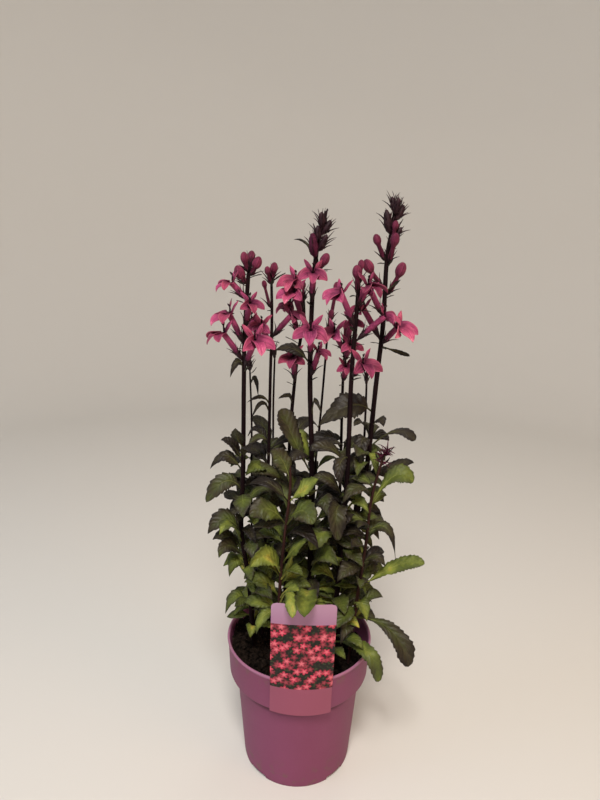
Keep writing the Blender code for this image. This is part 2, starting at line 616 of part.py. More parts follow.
def corolla(start, middle, mouth, size, stem_point, grow=0.0):
    """One open flower: a tube whose mouth is drawn out into two upper and three lower lobes."""
    forward, up, side = flower_frame(mouth, stem_point)
    point, along = bow(start, middle, mouth, FLOWER_START)
    rings = [flower_ring(point + along * GAP, along, up, TUBE_START * MM + grow)]
    for back, radius in MOUTH_RINGS:
        rings.append(flower_ring(mouth - forward * back * MM, forward, up, radius * MM + grow))
    bm = loft(rings)
    bm.verts.ensure_lookup_table()
    bm.faces.ensure_lookup_table()
    collar = [bm.faces[len(LOBES) + i] for i in range(len(LOBES))]
    for face, (angle, (ahead, high, wide), length, width, droop) in zip(collar, LOBES):
        along = (forward * ahead + up * high + side * wide).normalized()
        around = side * math.cos(math.radians(angle)) - up * math.sin(math.radians(angle))
        flat = (around - along * around.dot(along)).normalized()
        normal = along.cross(flat)
        reach = size * length * MM
        middle_point = mouth + along * (LOBE_ROOT * MM + reach * 0.5)
        tip = mouth + along * (LOBE_ROOT * MM + reach + grow) - Vector((0.0, 0.0, droop * reach))
        centre = face.calc_center_median()
        grown = bmesh.ops.extrude_discrete_faces(bm, faces=[face])["faces"][0]
        for vert in grown.verts:
            across = 1.0 if (vert.co - centre).dot(around) > 0 else -1.0
            front = 1.0 if (vert.co - centre).dot(forward) > 0 else -1.0
            facing = 1.0 if normal.dot(forward) > 0 else -1.0
            vert.co = (middle_point + flat * across * (size * width * MM / 2 + grow)
                       + normal * front * facing * (LOBE_THICK * MM / 2 + grow))
        poked = bmesh.ops.poke(bm, faces=[grown])["verts"][0]
        poked.co = tip
    return bm


def flower_ring(centre, along, up, radius):
    """Five points around a flower's tube, with a flat side towards each lobe."""
    high = (up - along * up.dot(along)).normalized()
    wide = along.cross(high)
    angles = [math.radians(72 * i) for i in range(5)]
    return [centre + (high * math.cos(a) + wide * math.sin(a)) * radius for a in angles]


def fill_leaves():
    """Leaves that fill the bush: they climb each stem in a spiral, longest in the middle."""
    for stem, low, high, count in FILL:
        chance = random.Random("fill " + stem)
        turn = chance.uniform(0, math.tau)
        for i in range(count):
            height = low + (high - low) * (i + 0.5) / count
            turn += GOLDEN_ANGLE
            length = chance.uniform(*FILL_LENGTHS)
            foot = at_height(STEM_PATHS[stem], height * MM) / MM
            out = Vector((math.cos(turn), math.sin(turn), 0.0))
            if out.dot(Vector((foot.x, foot.y, 0.0))) < CROWDED:
                length *= CROWDED_SHARE
            rise = chance.uniform(*FILL_RISE)
            middle = foot + out * length * 0.5 + Vector((0.0, 0.0, length * rise))
            tip = foot + out * length * 0.95 + Vector((0.0, 0.0, length * (rise - 0.15)))
            yield stem, height, middle, tip, length * chance.uniform(*FILL_WIDTH), FILL_TURN, False


def spikes():
    """The thin points of the young spiky tops."""
    for stem, start, count, length in SPIKY_TOPS:
        top = STEM_PATHS[stem][-1].z / MM
        for i in range(count):
            turn = GOLDEN_ANGLE * i
            height = start + (top - start) * i / count
            foot = at_height(STEM_PATHS[stem], height * MM) / MM
            out = Vector((math.cos(turn), math.sin(turn), 0.0))
            middle = foot + out * length * 0.45 + Vector((0.0, 0.0, length * 0.3))
            tip = foot + out * length * 0.75 + Vector((0.0, 0.0, length * 0.8))
            yield stem, height, middle, tip, SPIKE_WIDTH


def place_flowers(growth, taken):
    """Open flowers as pieces of their own, and their cups fused to the stems."""
    number = 0
    for stem, height, mouth, size in FLOWERS:
        axis = at_height(STEM_PATHS[stem], height * MM)
        for _, place in depth_choices(metres(mouth), metres(mouth)):
            start = foot_on(stem, height * MM, place, ROOTED * MM)
            forward = flower_frame(place, axis)[0]
            middle = (start + place) * 0.5 - forward * TUBE_SAG * size * MM
            fat = corolla(start, middle, place, size, axis, CLEARANCE * MM)
            holder = cup(start, middle, place)
            if clear_of(fat, taken) and clear_of(holder, taken, stem):
                break
        else:
            print("no room for a flower", stem, height, mouth)
            continue
        number += 1
        shape = corolla(start, middle, place, size, axis)
        taken.append(("flower", BVHTree.FromBMesh(shape)))
        taken.append((stem, BVHTree.FromBMesh(holder)))
        growth[stem].append(holder)
        add_object(f"flower_{number:02d}", mesh_from("flower", shape), PARTS, PETAL_PINK)


def place_buds(growth, taken):
    for stem, height, head, diameter in BUDS:
        for _, place in depth_choices(metres(head), metres(head)):
            start = foot_on(stem, height * MM, place, ROOTED * MM)
            shape = bud(start, place, diameter)
            fat = bud(start.lerp(place, FLOWER_START), place, diameter + CLEARANCE)
            if clear_of(fat, taken) and clear_of(shape, taken, stem):
                taken.append((stem, BVHTree.FromBMesh(shape)))
                growth[stem].append(shape)
                break
        else:
            print("no room for a bud", stem, height, head)


def place_leaves(growth, taken):
    number = 0
    listed = []
    for row in LEAVES:
        small = SMALL_LEAF_STATIONS if row[4] > NARROW_LEAF else FILL_STATIONS
        listed.append((*row, LEAF_STATIONS if row[6] else small))
    listed += [(*row, FILL_TURN, False, BRACT_STATIONS) for row in BRACTS]
    listed += [(*row, 0, False, BRACT_STATIONS) for row in spikes()]
    listed += [(*row, FILL_STATIONS) for row in fill_leaves()]
    for stem, height, middle, tip, width, turn, own_piece, stations in listed:
        margin, swell, begin = (ROOTED, CLEARANCE, FOOT_SHARE)
        if own_piece:
            margin, swell, begin = (STANDS_OFF, GAP / MM, 0.0)
        for mid, end in depth_choices(metres(middle), metres(tip)):
            start = foot_on(stem, height * MM, end, margin * MM)
            fat = blade(start, mid, end, width * MM, turn, stations, swell * MM, begin)
            whole = blade(start, mid, end, width * MM, turn, stations, GAP)
            if clear_of(fat, taken) and clear_of(whole, taken, stem):
                break
        else:
            print("no room for a leaf", stem, height, tuple(round(c) for c in tip))
            continue
        shape = blade(start, mid, end, width * MM, turn, stations)
        taken.append(("leaf" if own_piece else stem, BVHTree.FromBMesh(shape)))
        if own_piece:
            number += 1
            add_object(f"leaf_{number:02d}", mesh_from("leaf", shape), PARTS, LEAF_GREEN)
        else:
            growth[stem].append(shape)


def make_stems(growth):
    for stem in STEMS:
        mesh = mesh_from("stem_" + stem, stem_tube(stem))
        made = add_object("stem_" + stem, mesh, PARTS, DARK_STEM)
        group = collection("growth_of_stem_" + stem, HELPERS)
        for shape in growth[stem]:
            helper("growth_" + stem, mesh_from("growth_" + stem, shape), group)
        union = made.modifiers.new("union", "BOOLEAN")
        union.operation = "UNION"
        union.operand_type = "COLLECTION"
        union.collection = group


for old in list(bpy.data.objects):
    bpy.data.objects.remove(old)
PARTS = collection("potted_cardinal_flower")
HELPERS = collection("cutters_and_growth")
STEM_PATHS = {
    name: smooth_path([metres(point) for point in points])
    for name, (_, points) in STEMS.items()
}

make_pot()
make_soil()
make_label()
bpy.context.view_layer.update()
graph = bpy.context.evaluated_depsgraph_get()
occupied = [
    (name, BVHTree.FromObject(bpy.data.objects[name], graph))
    for name in ("pot", "plant_label")
]
occupied += [(name, BVHTree.FromBMesh(stem_tube(name))) for name in STEMS]
fused = {name: [] for name in STEMS}
place_flowers(fused, occupied)
place_buds(fused, occupied)
place_leaves(fused, occupied)
make_stems(fused)
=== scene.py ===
"""The looks of a potted bog plant with dark stems, toothed leaves and pink flower spikes."""

import math
import random

import bmesh
import bpy
from mathutils import Matrix, Vector, kdtree, noise


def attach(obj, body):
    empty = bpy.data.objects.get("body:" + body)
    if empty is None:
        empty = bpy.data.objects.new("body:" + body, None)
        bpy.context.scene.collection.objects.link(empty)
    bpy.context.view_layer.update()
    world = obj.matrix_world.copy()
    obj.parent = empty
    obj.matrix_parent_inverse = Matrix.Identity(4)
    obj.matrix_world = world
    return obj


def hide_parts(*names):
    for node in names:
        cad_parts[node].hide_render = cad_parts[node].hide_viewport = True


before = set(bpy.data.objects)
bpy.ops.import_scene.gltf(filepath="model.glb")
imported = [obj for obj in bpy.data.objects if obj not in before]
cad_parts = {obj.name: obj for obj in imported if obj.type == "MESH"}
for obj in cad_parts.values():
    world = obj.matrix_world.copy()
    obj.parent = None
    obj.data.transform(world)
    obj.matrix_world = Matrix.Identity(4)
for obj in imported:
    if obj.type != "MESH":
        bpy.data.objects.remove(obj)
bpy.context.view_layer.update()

# The pot. A thin nursery pot moulded in one piece from dusty mauve plastic, with a rolled lip and a
# deep collar that lets pots stack. It is turned from one profile, and its foot is notched.

MM = 0.001
WELD = 0.01 * MM  # corners nearer than this are made one
POT_STEPS = 112
POT_TOP = 142.0
POT_FLOOR = 5.5
POT_INSIDE = [(53.4, POT_FLOOR), (62.4, 101.5), (63.4, 102.8), (68.6, 104.6), (69.6, 105.8), (71.2, 139.0)]
POT_LIP = [(71.6, 141.3), (72.2, POT_TOP), (73.2, POT_TOP), (73.8, 141.5), (74.0, 140.7), (73.8, 139.8),
           (73.3, 139.2)]
POT_COLLAR = [(73.0, 138.2), (71.6, 106.2), (71.2, 105.0), (70.4, 104.4), (66.0, 102.6), (64.6, 101.8),
              (64.0, 100.4)]
POT_WALL = [(56.9, 9.0), (56.7, 5.5), (56.3, 2.6), (56.0, 0.9), (55.5, 0.0)]
POT_UNDERSIDE = [(50.0, 0.0), (48.5, 4.0), (20.0, 4.0), (18.5, 0.0)]
NOTCHES = 4
NOTCH = (16.0, 22.0, 8.0)  # through the wall, along it, and twice the height
NOTCH_MIDDLE = 55.0
FIRST_NOTCH = 45.0  # degrees from the right
DRAIN_RADIUS = 4.0
DRAIN_CIRCLE = 36.0
DRAIN_DEPTH = 12.0
DRAIN_SIDES = 20
POT_CREASE = math.radians(50)
MAUVE = (0.238, 0.066, 0.137)
MAUVE_DEEP = (0.192, 0.050, 0.099)
# Paler colour for the lip: a painted highlight.
MAUVE_LIP_HIGHLIGHT = (0.40, 0.19, 0.29)
DUST = (0.16, 0.10, 0.08)
# Dark colour for the band just below the collar: painted shade.
COLLAR_PAINTED_SHADE = (0.050, 0.012, 0.024)
FOOT_SOILED = (0.04, 0.0)  # heights in metres, from none of it to all of it
LIP_SOILED = (0.125, 0.142)
# Heights in metres of the painted highlight on the lip.
LIP_HIGHLIGHT_SPAN = (0.1385, 0.1400)
# Heights in metres where the painted shade below the collar fades in, and where it fades out.
SHADE_STARTS = (0.0915, 0.0975)
SHADE_ENDS = (0.1052, 0.1042)


class Signal:
    """A number, place or colour that varies over a material. Arithmetic with it adds shader nodes."""

    def __init__(self, socket):
        self.socket = socket
        self.tree = socket.id_data

    def __add__(self, other):
        return maths("ADD", self, other)

    def __sub__(self, other):
        return maths("SUBTRACT", self, other)

    def __mul__(self, other):
        return maths("MULTIPLY", self, other)

    def __truediv__(self, other):
        return maths("DIVIDE", self, other)

    def __pow__(self, other):
        return maths("POWER", self, other)

    def __abs__(self):
        return maths("ABSOLUTE", self)


def node(tree, kind, sockets=None, **settings):
    """A shader node with its settings made, and its sockets set or fed with signals."""
    made = tree.nodes.new("ShaderNode" + kind)
    for name, value in settings.items():
        setattr(made, name, value)
    for name, value in (sockets or {}).items():
        if isinstance(value, Signal):
            tree.links.new(value.socket, made.inputs[name])
        else:
            made.inputs[name].default_value = value
    return made


def signal(tree, kind, sockets=None, output=0, **settings):
    """What comes out of a new shader node."""
    return Signal(node(tree, kind, sockets, **settings).outputs[output])


def maths(operation, first, second=0.0):
    """What an operation makes of one or two signals."""
    return signal(first.tree, "Math", {0: first, 1: second}, operation=operation)


def smooth_step(value, low, high):
    """0 below low and 1 above high; with low above high, the other way round."""
    return signal(value.tree, "MapRange", {0: value, 1: low, 2: high}, interpolation_type="SMOOTHSTEP")


def colour_mix(tree, share, first, second):
    """The first colour, covered with the second to a share that lies between 0 and 1."""
    first, second = (c if isinstance(c, Signal) else (*c, 1.0) for c in (first, second))
    return signal(tree, "Mix", {0: share, 6: first, 7: second}, output=2, data_type="RGBA")


def place_in(tree):
    """The place of a point in its piece, in metres."""
    return signal(tree, "TexCoord", output="Object")


def parts_of(vector):
    """The three numbers of a place or a colour."""
    return [Signal(socket) for socket in node(vector.tree, "SeparateXYZ", {0: vector}).outputs]


def speckle(place, scale, detail):
    """Noise that varies around 0.5, finer at a larger scale."""
    return signal(place.tree, "TexNoise", {"Vector": place, "Scale": scale, "Detail": detail})


def feed(socket, value):
    """Leads a signal into a socket."""
    value.tree.links.new(value.socket, socket)


def clouds_group():
    """Two colours in soft clouds over the piece, and the clouds themselves as a height."""
    tree = bpy.data.node_groups.new("clouds", "ShaderNodeTree")
    for name, kind in (("First", "Color"), ("Second", "Color"), ("Scale", "Float"), ("Contrast", "Float")):
        tree.interface.new_socket(name, in_out="INPUT", socket_type="NodeSocket" + kind)
    for name, kind in (("Color", "Color"), ("Height", "Float")):
        tree.interface.new_socket(name, in_out="OUTPUT", socket_type="NodeSocket" + kind)
    given = [Signal(socket) for socket in tree.nodes.new("NodeGroupInput").outputs[:4]]
    first, second, scale, contrast = given
    cloud = speckle(place_in(tree), scale, 4.0)
    share = signal(tree, "Clamp", {0: (cloud - 0.5) * contrast + 0.5})
    out = tree.nodes.new("NodeGroupOutput").inputs
    feed(out["Color"], colour_mix(tree, share, first, second))
    feed(out["Height"], share)
    return tree


CLOUDS = clouds_group()


def clouds(tree, first, second, scale, contrast):
    """The clouds group, placed in a material: its colour and its height."""
    sockets = {"First": (*first, 1.0), "Second": (*second, 1.0), "Scale": scale, "Contrast": contrast}
    made = node(tree, "Group", sockets, node_tree=CLOUDS)
    return Signal(made.outputs["Color"]), Signal(made.outputs["Height"])


def new_material(name, roughness, specular):
    """A material, its node tree and the sockets of its shader."""
    material = bpy.data.materials.new(name)
    material.use_nodes = True
    tree = material.node_tree
    shader = tree.nodes["Principled BSDF"]
    shader.inputs["Roughness"].default_value = roughness
    shader.inputs["Specular IOR Level"].default_value = specular
    return material, tree, shader.inputs


def add_bump(sockets, height, distance):
    """Shades the surface as if it rose with a signal, by a distance in metres at most."""
    feed(sockets["Normal"], signal(height.tree, "Bump", {"Height": height, "Distance": distance}))


def mauve_plastic():
    """Satin plastic, soiled at the lip and the foot, with a painted highlight on the lip and painted shade
    below the collar.
    """
    material, tree, sockets = new_material("mauve_plastic", roughness=0.5, specular=0.15)
    place = place_in(tree)
    height = parts_of(place)[2]
    specks = speckle(place, 90.0, 5.0)
    soiled = smooth_step(height, *FOOT_SOILED) + smooth_step(height, *LIP_SOILED)
    soiled = soiled * smooth_step(specks, 0.5, 0.68) * 0.75
    # Painted highlight: a paler band along the lip that stands in for the light catching it.
    painted_lip_highlight = smooth_step(height, *LIP_HIGHLIGHT_SPAN) * 0.55
    # Painted shade: a dark band just below the collar that stands in for the shadow it casts.
    painted_collar_shade = smooth_step(height, *SHADE_STARTS) * smooth_step(height, *SHADE_ENDS) * 0.8
    colour, _ = clouds(tree, MAUVE, MAUVE_DEEP, scale=14.0, contrast=1.2)
    for share, over in ((soiled, DUST), (painted_lip_highlight, MAUVE_LIP_HIGHLIGHT), (painted_collar_shade, COLLAR_PAINTED_SHADE)):
        colour = colour_mix(tree, share, colour, over)
    feed(sockets["Base Color"], colour)
    grain = speckle(place, 700.0, 2.0)
    feed(sockets["Roughness"], grain * 0.16 + 0.48)
    add_bump(sockets, grain, 0.1 * MM)
    return material


def mesh_from(name, bm):
    """Turns a finished shape into a mesh."""
    mesh = bpy.data.meshes.new(name)
    bm.to_mesh(mesh)
    bm.free()
    return mesh


def in_scene(name, data):
    """A new object in the scene."""
    made = bpy.data.objects.new(name, data)
    bpy.context.scene.collection.objects.link(made)
    return made


def evaluated_mesh(thing):
    """The mesh that an object's own settings and modifiers give it."""
    bpy.context.view_layer.update()
    return bpy.data.meshes.new_from_object(thing.evaluated_get(bpy.context.evaluated_depsgraph_get()))


def piece_from(name, bm, slot, materials, replaced=()):
    """A finished piece: smooth, in place, riding with the pot, and standing for its CAD nodes."""
    mesh = mesh_from(name, bm)
    mesh.shade_smooth()
    for material in materials:
        mesh.materials.append(material)
    piece = in_scene(name, mesh)
    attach(piece, "root")
    if replaced:
        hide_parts(*replaced)
    return piece


def turned(profile, steps):
    """A body turned from a profile of (radius, height) in millimetres that starts on the axis."""
    bm = bmesh.new()
    corners = [bm.verts.new((radius * MM, 0.0, height * MM)) for radius, height in profile]
    line = [bm.edges.new(pair) for pair in zip(corners, corners[1:])]
    bmesh.ops.spin(bm, geom=corners + line, axis=(0, 0, 1), cent=(0, 0, 0), steps=steps,
                   angle=math.tau, use_merge=True)
    bmesh.ops.remove_doubles(bm, verts=bm.verts, dist=WELD)
    bmesh.ops.recalc_face_normals(bm, faces=bm.faces)
    return bm


def cut_out(piece, cutter_bm):
    """Cuts the cutter's shape out of the piece for good."""
    cutter = in_scene("cutter", mesh_from("cutter", cutter_bm))
    cut = piece.modifiers.new("cut", "BOOLEAN")
    cut.object = cutter
    cut.operation = "DIFFERENCE"
    result = evaluated_mesh(piece)
    piece.modifiers.clear()
    piece.data = result
    bpy.data.objects.remove(cutter)


pot_outside = [*POT_LIP, *POT_COLLAR, *POT_WALL, *POT_UNDERSIDE, (0.0, 0.0)]
pot_profile = [(0.0, POT_FLOOR), *POT_INSIDE, *pot_outside]
pot = piece_from("pot_shell", turned(pot_profile, POT_STEPS), "pot_plastic", [mauve_plastic()], ["pot"])
cutters = bmesh.new()
for i in range(NOTCHES):
    around = Matrix.Rotation(math.radians(FIRST_NOTCH + 360 / NOTCHES * i), 4, "Z")
    notch = Matrix.Translation((NOTCH_MIDDLE * MM, 0.0, 0.0))
    notch = notch @ Matrix.Diagonal((*(side * MM for side in NOTCH), 1.0))
    bmesh.ops.create_cube(cutters, size=1.0, matrix=around @ notch)
    hole = Matrix.Translation((DRAIN_CIRCLE * MM, 0.0, POT_FLOOR * MM))
    bmesh.ops.create_cone(cutters, cap_ends=True, segments=DRAIN_SIDES, radius1=DRAIN_RADIUS * MM,
                          radius2=DRAIN_RADIUS * MM, depth=DRAIN_DEPTH * MM, matrix=around @ hole)
cut_out(pot, cutters)
pot.data.set_sharp_from_angle(angle=POT_CREASE)

# The potting soil. Dark peat and bark that fills the pot to a little below the lip, a bit higher at
# the left and the front edge. One body with a lumpy top, and loose crumbs and slivers lying on it.

SOIL_RINGS = 44
SOIL_STEPS = 150
SOIL_BOTTOM = 5.8
SOIL_LEVEL = 121.0
SOIL_TILT = (-5.0, -3.0)  # rise from the middle to the right edge, and to the back
SOIL_REACH = 66.0
SOIL_EDGE = 69.4
SOIL_WALL = [(53.0, SOIL_BOTTOM), (61.9, 101.5), (69.0, 106.4), (SOIL_EDGE, 113.0)]
SOIL_SHOWS_FROM = 112.0  # above this height a corner belongs to the lumpy top
LUMPS = 2.2
COARSE_CLODS = (6.0, 7.0)  # size and height
FINE_CLODS = (2.2, 5.0)
HEAP = 9.0
HEAP_FROM = 30.0
CRUMBS = 1300
CRUMB_SIZES = (0.8, 1.2, 1.8, 3.4)
SLIVERS = 70
SLIVER_LENGTHS = (3, 9)
SLIVER_WIDTHS = (0.7, 1.8)
SLIVER_THICK = 0.7
CRUMBS_LIFT = 0.3
CRUMBS_TIP = 0.5  # radians
CRUMB_CREASE = math.radians(30)
PEAT = (0.003, 0.0022, 0.0018)
PEAT_LIGHT = (0.020, 0.0135, 0.010)


def soil_height(x, y):
    """Height of the soil's slow waves, as in the solid, at a place. All are in millimetres."""
    lumps = math.sin(x / 7.0 + 1.3) * math.cos(y / 8.5 - 0.4) + 0.6 * math.sin((x + y) / 4.3)
    tilt = (SOIL_TILT[0] * x + SOIL_TILT[1] * y) / SOIL_REACH
    return SOIL_LEVEL + tilt + LUMPS * lumps


def soil_surface(x, y):
    """The waves with small lumps and pits on top, and the heap at the left wall."""
    coarse = noise.noise(Vector((x / COARSE_CLODS[0], y / COARSE_CLODS[0], 3.0)))
    fine = noise.noise(Vector((x / FINE_CLODS[0], y / FINE_CLODS[0], 9.0)))
    heaped = max(0.0, -x - HEAP_FROM) / (SOIL_EDGE - HEAP_FROM)
    clods = COARSE_CLODS[1] * coarse + FINE_CLODS[1] * abs(fine) + HEAP * heaped**2
    return soil_height(x, y) + clods


def cloudy_finish(name, look, colours, scale, contrast, relief):
    """A finish of two colours in clouds that also stand out, by a distance in metres.

    Its look is its roughness and how strongly it mirrors.
    """
    material, tree, sockets = new_material(name, *look)
    colour, height = clouds(tree, *colours, scale, contrast)
    feed(sockets["Base Color"], colour)
    if relief:
        add_bump(sockets, height, relief)
    return material


soil_top = [(SOIL_EDGE * i / SOIL_RINGS, SOIL_LEVEL) for i in range(SOIL_RINGS - 1, -1, -1)]
soil = turned([(0.0, SOIL_BOTTOM), *SOIL_WALL, *soil_top], SOIL_STEPS)
for vert in soil.verts:
    if vert.co.z > SOIL_SHOWS_FROM * MM:
        vert.co.z = soil_surface(vert.co.x / MM, vert.co.y / MM) * MM
soil_finish = [cloudy_finish("peat", (0.95, 0.05), (PEAT, PEAT_LIGHT), 240.0, 3.2, 1.2 * MM)]
piece_from("soil_body", soil, "potting_soil", soil_finish, ["potting_soil"])
chance = random.Random(5)
crumbs = bmesh.new()
for i in range(CRUMBS + SLIVERS):
    reach, turn = SOIL_REACH * math.sqrt(chance.random()), chance.uniform(0, math.tau)
    x, y = reach * math.cos(turn), reach * math.sin(turn)
    lie = Matrix.Translation((x * MM, y * MM, (soil_surface(x, y) + CRUMBS_LIFT) * MM))
    lie = lie @ Matrix.Rotation(chance.uniform(0, math.tau), 4, "Z")
    lie = lie @ Matrix.Rotation(chance.uniform(-CRUMBS_TIP, CRUMBS_TIP), 4, "Y")
    if i < CRUMBS:
        size = chance.choice(CRUMB_SIZES) * MM
        shape = Matrix.Diagonal((size * chance.uniform(0.8, 1.7), size, size * chance.uniform(0.6, 1.0), 1.0))
        bmesh.ops.create_icosphere(crumbs, subdivisions=1, radius=1.0, matrix=lie @ shape)
    else:
        length, width = chance.uniform(*SLIVER_LENGTHS), chance.uniform(*SLIVER_WIDTHS)
        shape = Matrix.Diagonal((length * MM, width * MM, SLIVER_THICK * MM, 1.0))
        bmesh.ops.create_cube(crumbs, size=1.0, matrix=lie @ shape)
loose = piece_from("soil_crumbs", crumbs, "potting_soil", soil_finish)
loose.data.set_sharp_from_angle(angle=CRUMB_CREASE)

# The stems. Thirteen dark purple stems grow out of the soil, the thickest with the tall flower
# spikes. Each is a tapered tube with slight swellings, and it carries its leaves, buds and flowers.

STEMS = {  # width at the foot, then points on the way up
    "a": (4.8, [(-44, -6, 106), (-48, -8, 154), (-52, -8, 207), (-59, -8, 262), (-57, -8, 324),
                (-56, -8, 411), (-55, -8, 457), (-51, -8, 516)]),
    "b": (2.4, [(-46, 24, 106), (-51, 27, 160), (-52, 28, 309), (-52, 28, 362), (-54, 28, 420)]),
    "c": (3.6, [(-38, 10, 106), (-39, 10, 147), (-36, 10, 263), (-34, 10, 327), (-33, 10, 407),
                (-32, 10, 464), (-33, 10, 506)]),
    "d": (2.6, [(-31, 31, 106), (-32, 34, 155), (-31, 35, 328), (-31, 35, 381), (-30, 35, 431)]),
    "e": (4.0, [(-19, 17, 106), (-17, 18, 154), (-15, 18, 214), (-14, 18, 339), (-10, 18, 406),
                (-7, 18, 435), (-3, 18, 463), (-4, 18, 490)]),
    "f": (5.2, [(9, -3, 106), (9, -4, 182), (8, -4, 320), (4, -4, 412), (4, -4, 484),
                (6, -4, 517), (8, -4, 535), (15, -4, 561)]),
    "g": (2.8, [(12, 30, 106), (13, 33, 156), (12, 34, 297), (15, 34, 348), (18, 34, 403),
                (21, 34, 466)]),
    "h": (3.4, [(37, 21, 106), (40, 22, 153), (39, 22, 213), (37, 22, 332), (36, 22, 406),
                (37, 22, 449)]),
    "i": (5.2, [(31, -12, 106), (36, -12, 188), (41, -12, 311), (41, -12, 414), (43, -12, 477),
                (44, -12, 507)]),
    "j": (3.0, [(46, 33, 106), (56, 38, 154), (61, 40, 307), (61, 40, 387), (60, 40, 407)]),
    "k": (5.2, [(41, 5, 106), (46, 6, 176), (55, 6, 301), (61, 6, 318), (66, 6, 410),
                (69, 6, 462), (69, 6, 518), (72, 6, 545), (75, 6, 571)]),
    "l": (3.4, [(49, -20, 106), (56, -22, 202), (61, -22, 254), (64, -22, 303), (72, -22, 342),
                (76, -22, 352)]),
    "m": (3.4, [(-21, -33, 106), (-20, -36, 209), (-17, -36, 260), (-12, -36, 313),
                (-12, -36, 340)]),
}
STEM_STATIONS = 8
CURVE_STEPS = 10
STEM_TOP_SHARE = 0.5  # of the width at the foot
SKIN_GAIN = 0.45
SWELL = 0.08
SWELLS_PER_METRE = 90
TIP_SHARE = 0.25  # of its thickness that is left at a stem's very end
TIP_LENGTH = 14 * MM
STEM_DARK = (0.0045, 0.0020, 0.0030)
STEM_WARM = (0.013, 0.006, 0.007)
STEM_BROWN = (0.050, 0.021, 0.016)
BROWN_STEMS = "lm"
STREAK_SCALES = (500.0, 500.0, 24.0)


def smooth_curve(points):
    """Many points on a smooth curve through the given ones."""
    ends = [points[0] * 2 - points[1], *points, points[-1] * 2 - points[-2]]
    path = []
    for before, start, end, after in zip(ends, ends[1:], ends[2:], ends[3:]):
        for step in range(CURVE_STEPS):
            t = step / CURVE_STEPS
            pull = (end - before) * t + (2 * before - 5 * start + 4 * end - after) * t**2
            pull += (3 * start - before - 3 * end + after) * t**3
            path.append(start + pull * 0.5)
    return [*path, points[-1]]


def stations_of(path):
    """The few places on a stem's curve that its solid is built through."""
    last = len(path) - 1
    return [path[round(i * last / (STEM_STATIONS - 1))] for i in range(STEM_STATIONS)]


def at_height(path, height):
    """The place on a path at a height."""
    for low, high in zip(path, path[1:]):
        if low.z <= height <= high.z:
            return low.lerp(high, (height - low.z) / max(high.z - low.z, 1e-9))
    return path[0] if height < path[0].z else path[-1]


STEM_CURVES = {name: smooth_curve([Vector(p) * MM for p in points]) for name, (_, points) in STEMS.items()}
STEM_PATHS = {name: stations_of(curve) for name, curve in STEM_CURVES.items()}


def share_up(stem, height):
    """How far up its stem a height is, from 0 at the foot to 1 at the top."""
    foot, top = STEM_PATHS[stem][0].z, STEM_PATHS[stem][-1].z
    return min(max((height - foot) / (top - foot), 0.0), 1.0)


def stem_radius(stem, height):
    """Half the thickness of a stem's solid."""
    return STEMS[stem][0] * MM / 2 * (1 - (1 - STEM_TOP_SHARE) * share_up(stem, height))


def skin_radius(stem, height):
    """The stem as it looks: it keeps more of its thickness towards the top than its solid does."""
    return stem_radius(stem, height) * (1 + SKIN_GAIN * share_up(stem, height))


def stem_skin(name, dark, light):
    """Smooth waxy skin with fine streaks along the stem."""
    material, tree, sockets = new_material(name, roughness=0.6, specular=0.04)
    stretched = signal(tree, "Mapping", {"Vector": place_in(tree), "Scale": STREAK_SCALES})
    streaks = speckle(stretched, 1.0, 3.0)
    colour, _ = clouds(tree, dark, light, scale=45.0, contrast=1.6)
    feed(sockets["Base Color"], colour_mix(tree, smooth_step(streaks, 0.45, 0.75), colour, light))
    add_bump(sockets, streaks, 0.3 * MM)
    return material


def stem_tube(stem):
    """The tube of one stem, from a curve with a round bevel whose radius varies a little."""
    curve = bpy.data.curves.new("stem_guide", "CURVE")
    curve.dimensions = "3D"
    curve.bevel_depth = STEMS[stem][0] * MM / 2
    curve.bevel_resolution = 3
    curve.use_fill_caps = True
    path = STEM_CURVES[stem]
    spline = curve.splines.new("POLY")
    spline.points.add(len(path) - 1)
    for point, place in zip(spline.points, path):
        point.co = (*place, 1.0)
        swell = 1.0 + SWELL * noise.noise(place * SWELLS_PER_METRE)
        swell *= min(1.0, TIP_SHARE + (path[-1].z - place.z) / TIP_LENGTH)
        point.radius = skin_radius(stem, place.z) / curve.bevel_depth * swell
    guide = in_scene("stem_guide", curve)
    bm = bmesh.new()
    bm.from_mesh(evaluated_mesh(guide))
    bpy.data.objects.remove(guide)
    bmesh.ops.remove_doubles(bm, verts=bm.verts, dist=WELD)
    return bm


dark_skin = stem_skin("dark_stem_skin", STEM_DARK, STEM_WARM)
brown_skin = stem_skin("brown_stem_skin", STEM_WARM, STEM_BROWN)
for stem in STEMS:
    skin = brown_skin if stem in BROWN_STEMS else dark_skin
    piece_from("stem_" + stem + "_tube", stem_tube(stem), "stem_skin", [skin], ["stem_" + stem])

# The leaves. Toothed, pointed blades on short stalks, bronze and dark at the top and outside and
# bright green lower down. Each blade is a thin closed sheet with a midrib, folded and rippled.

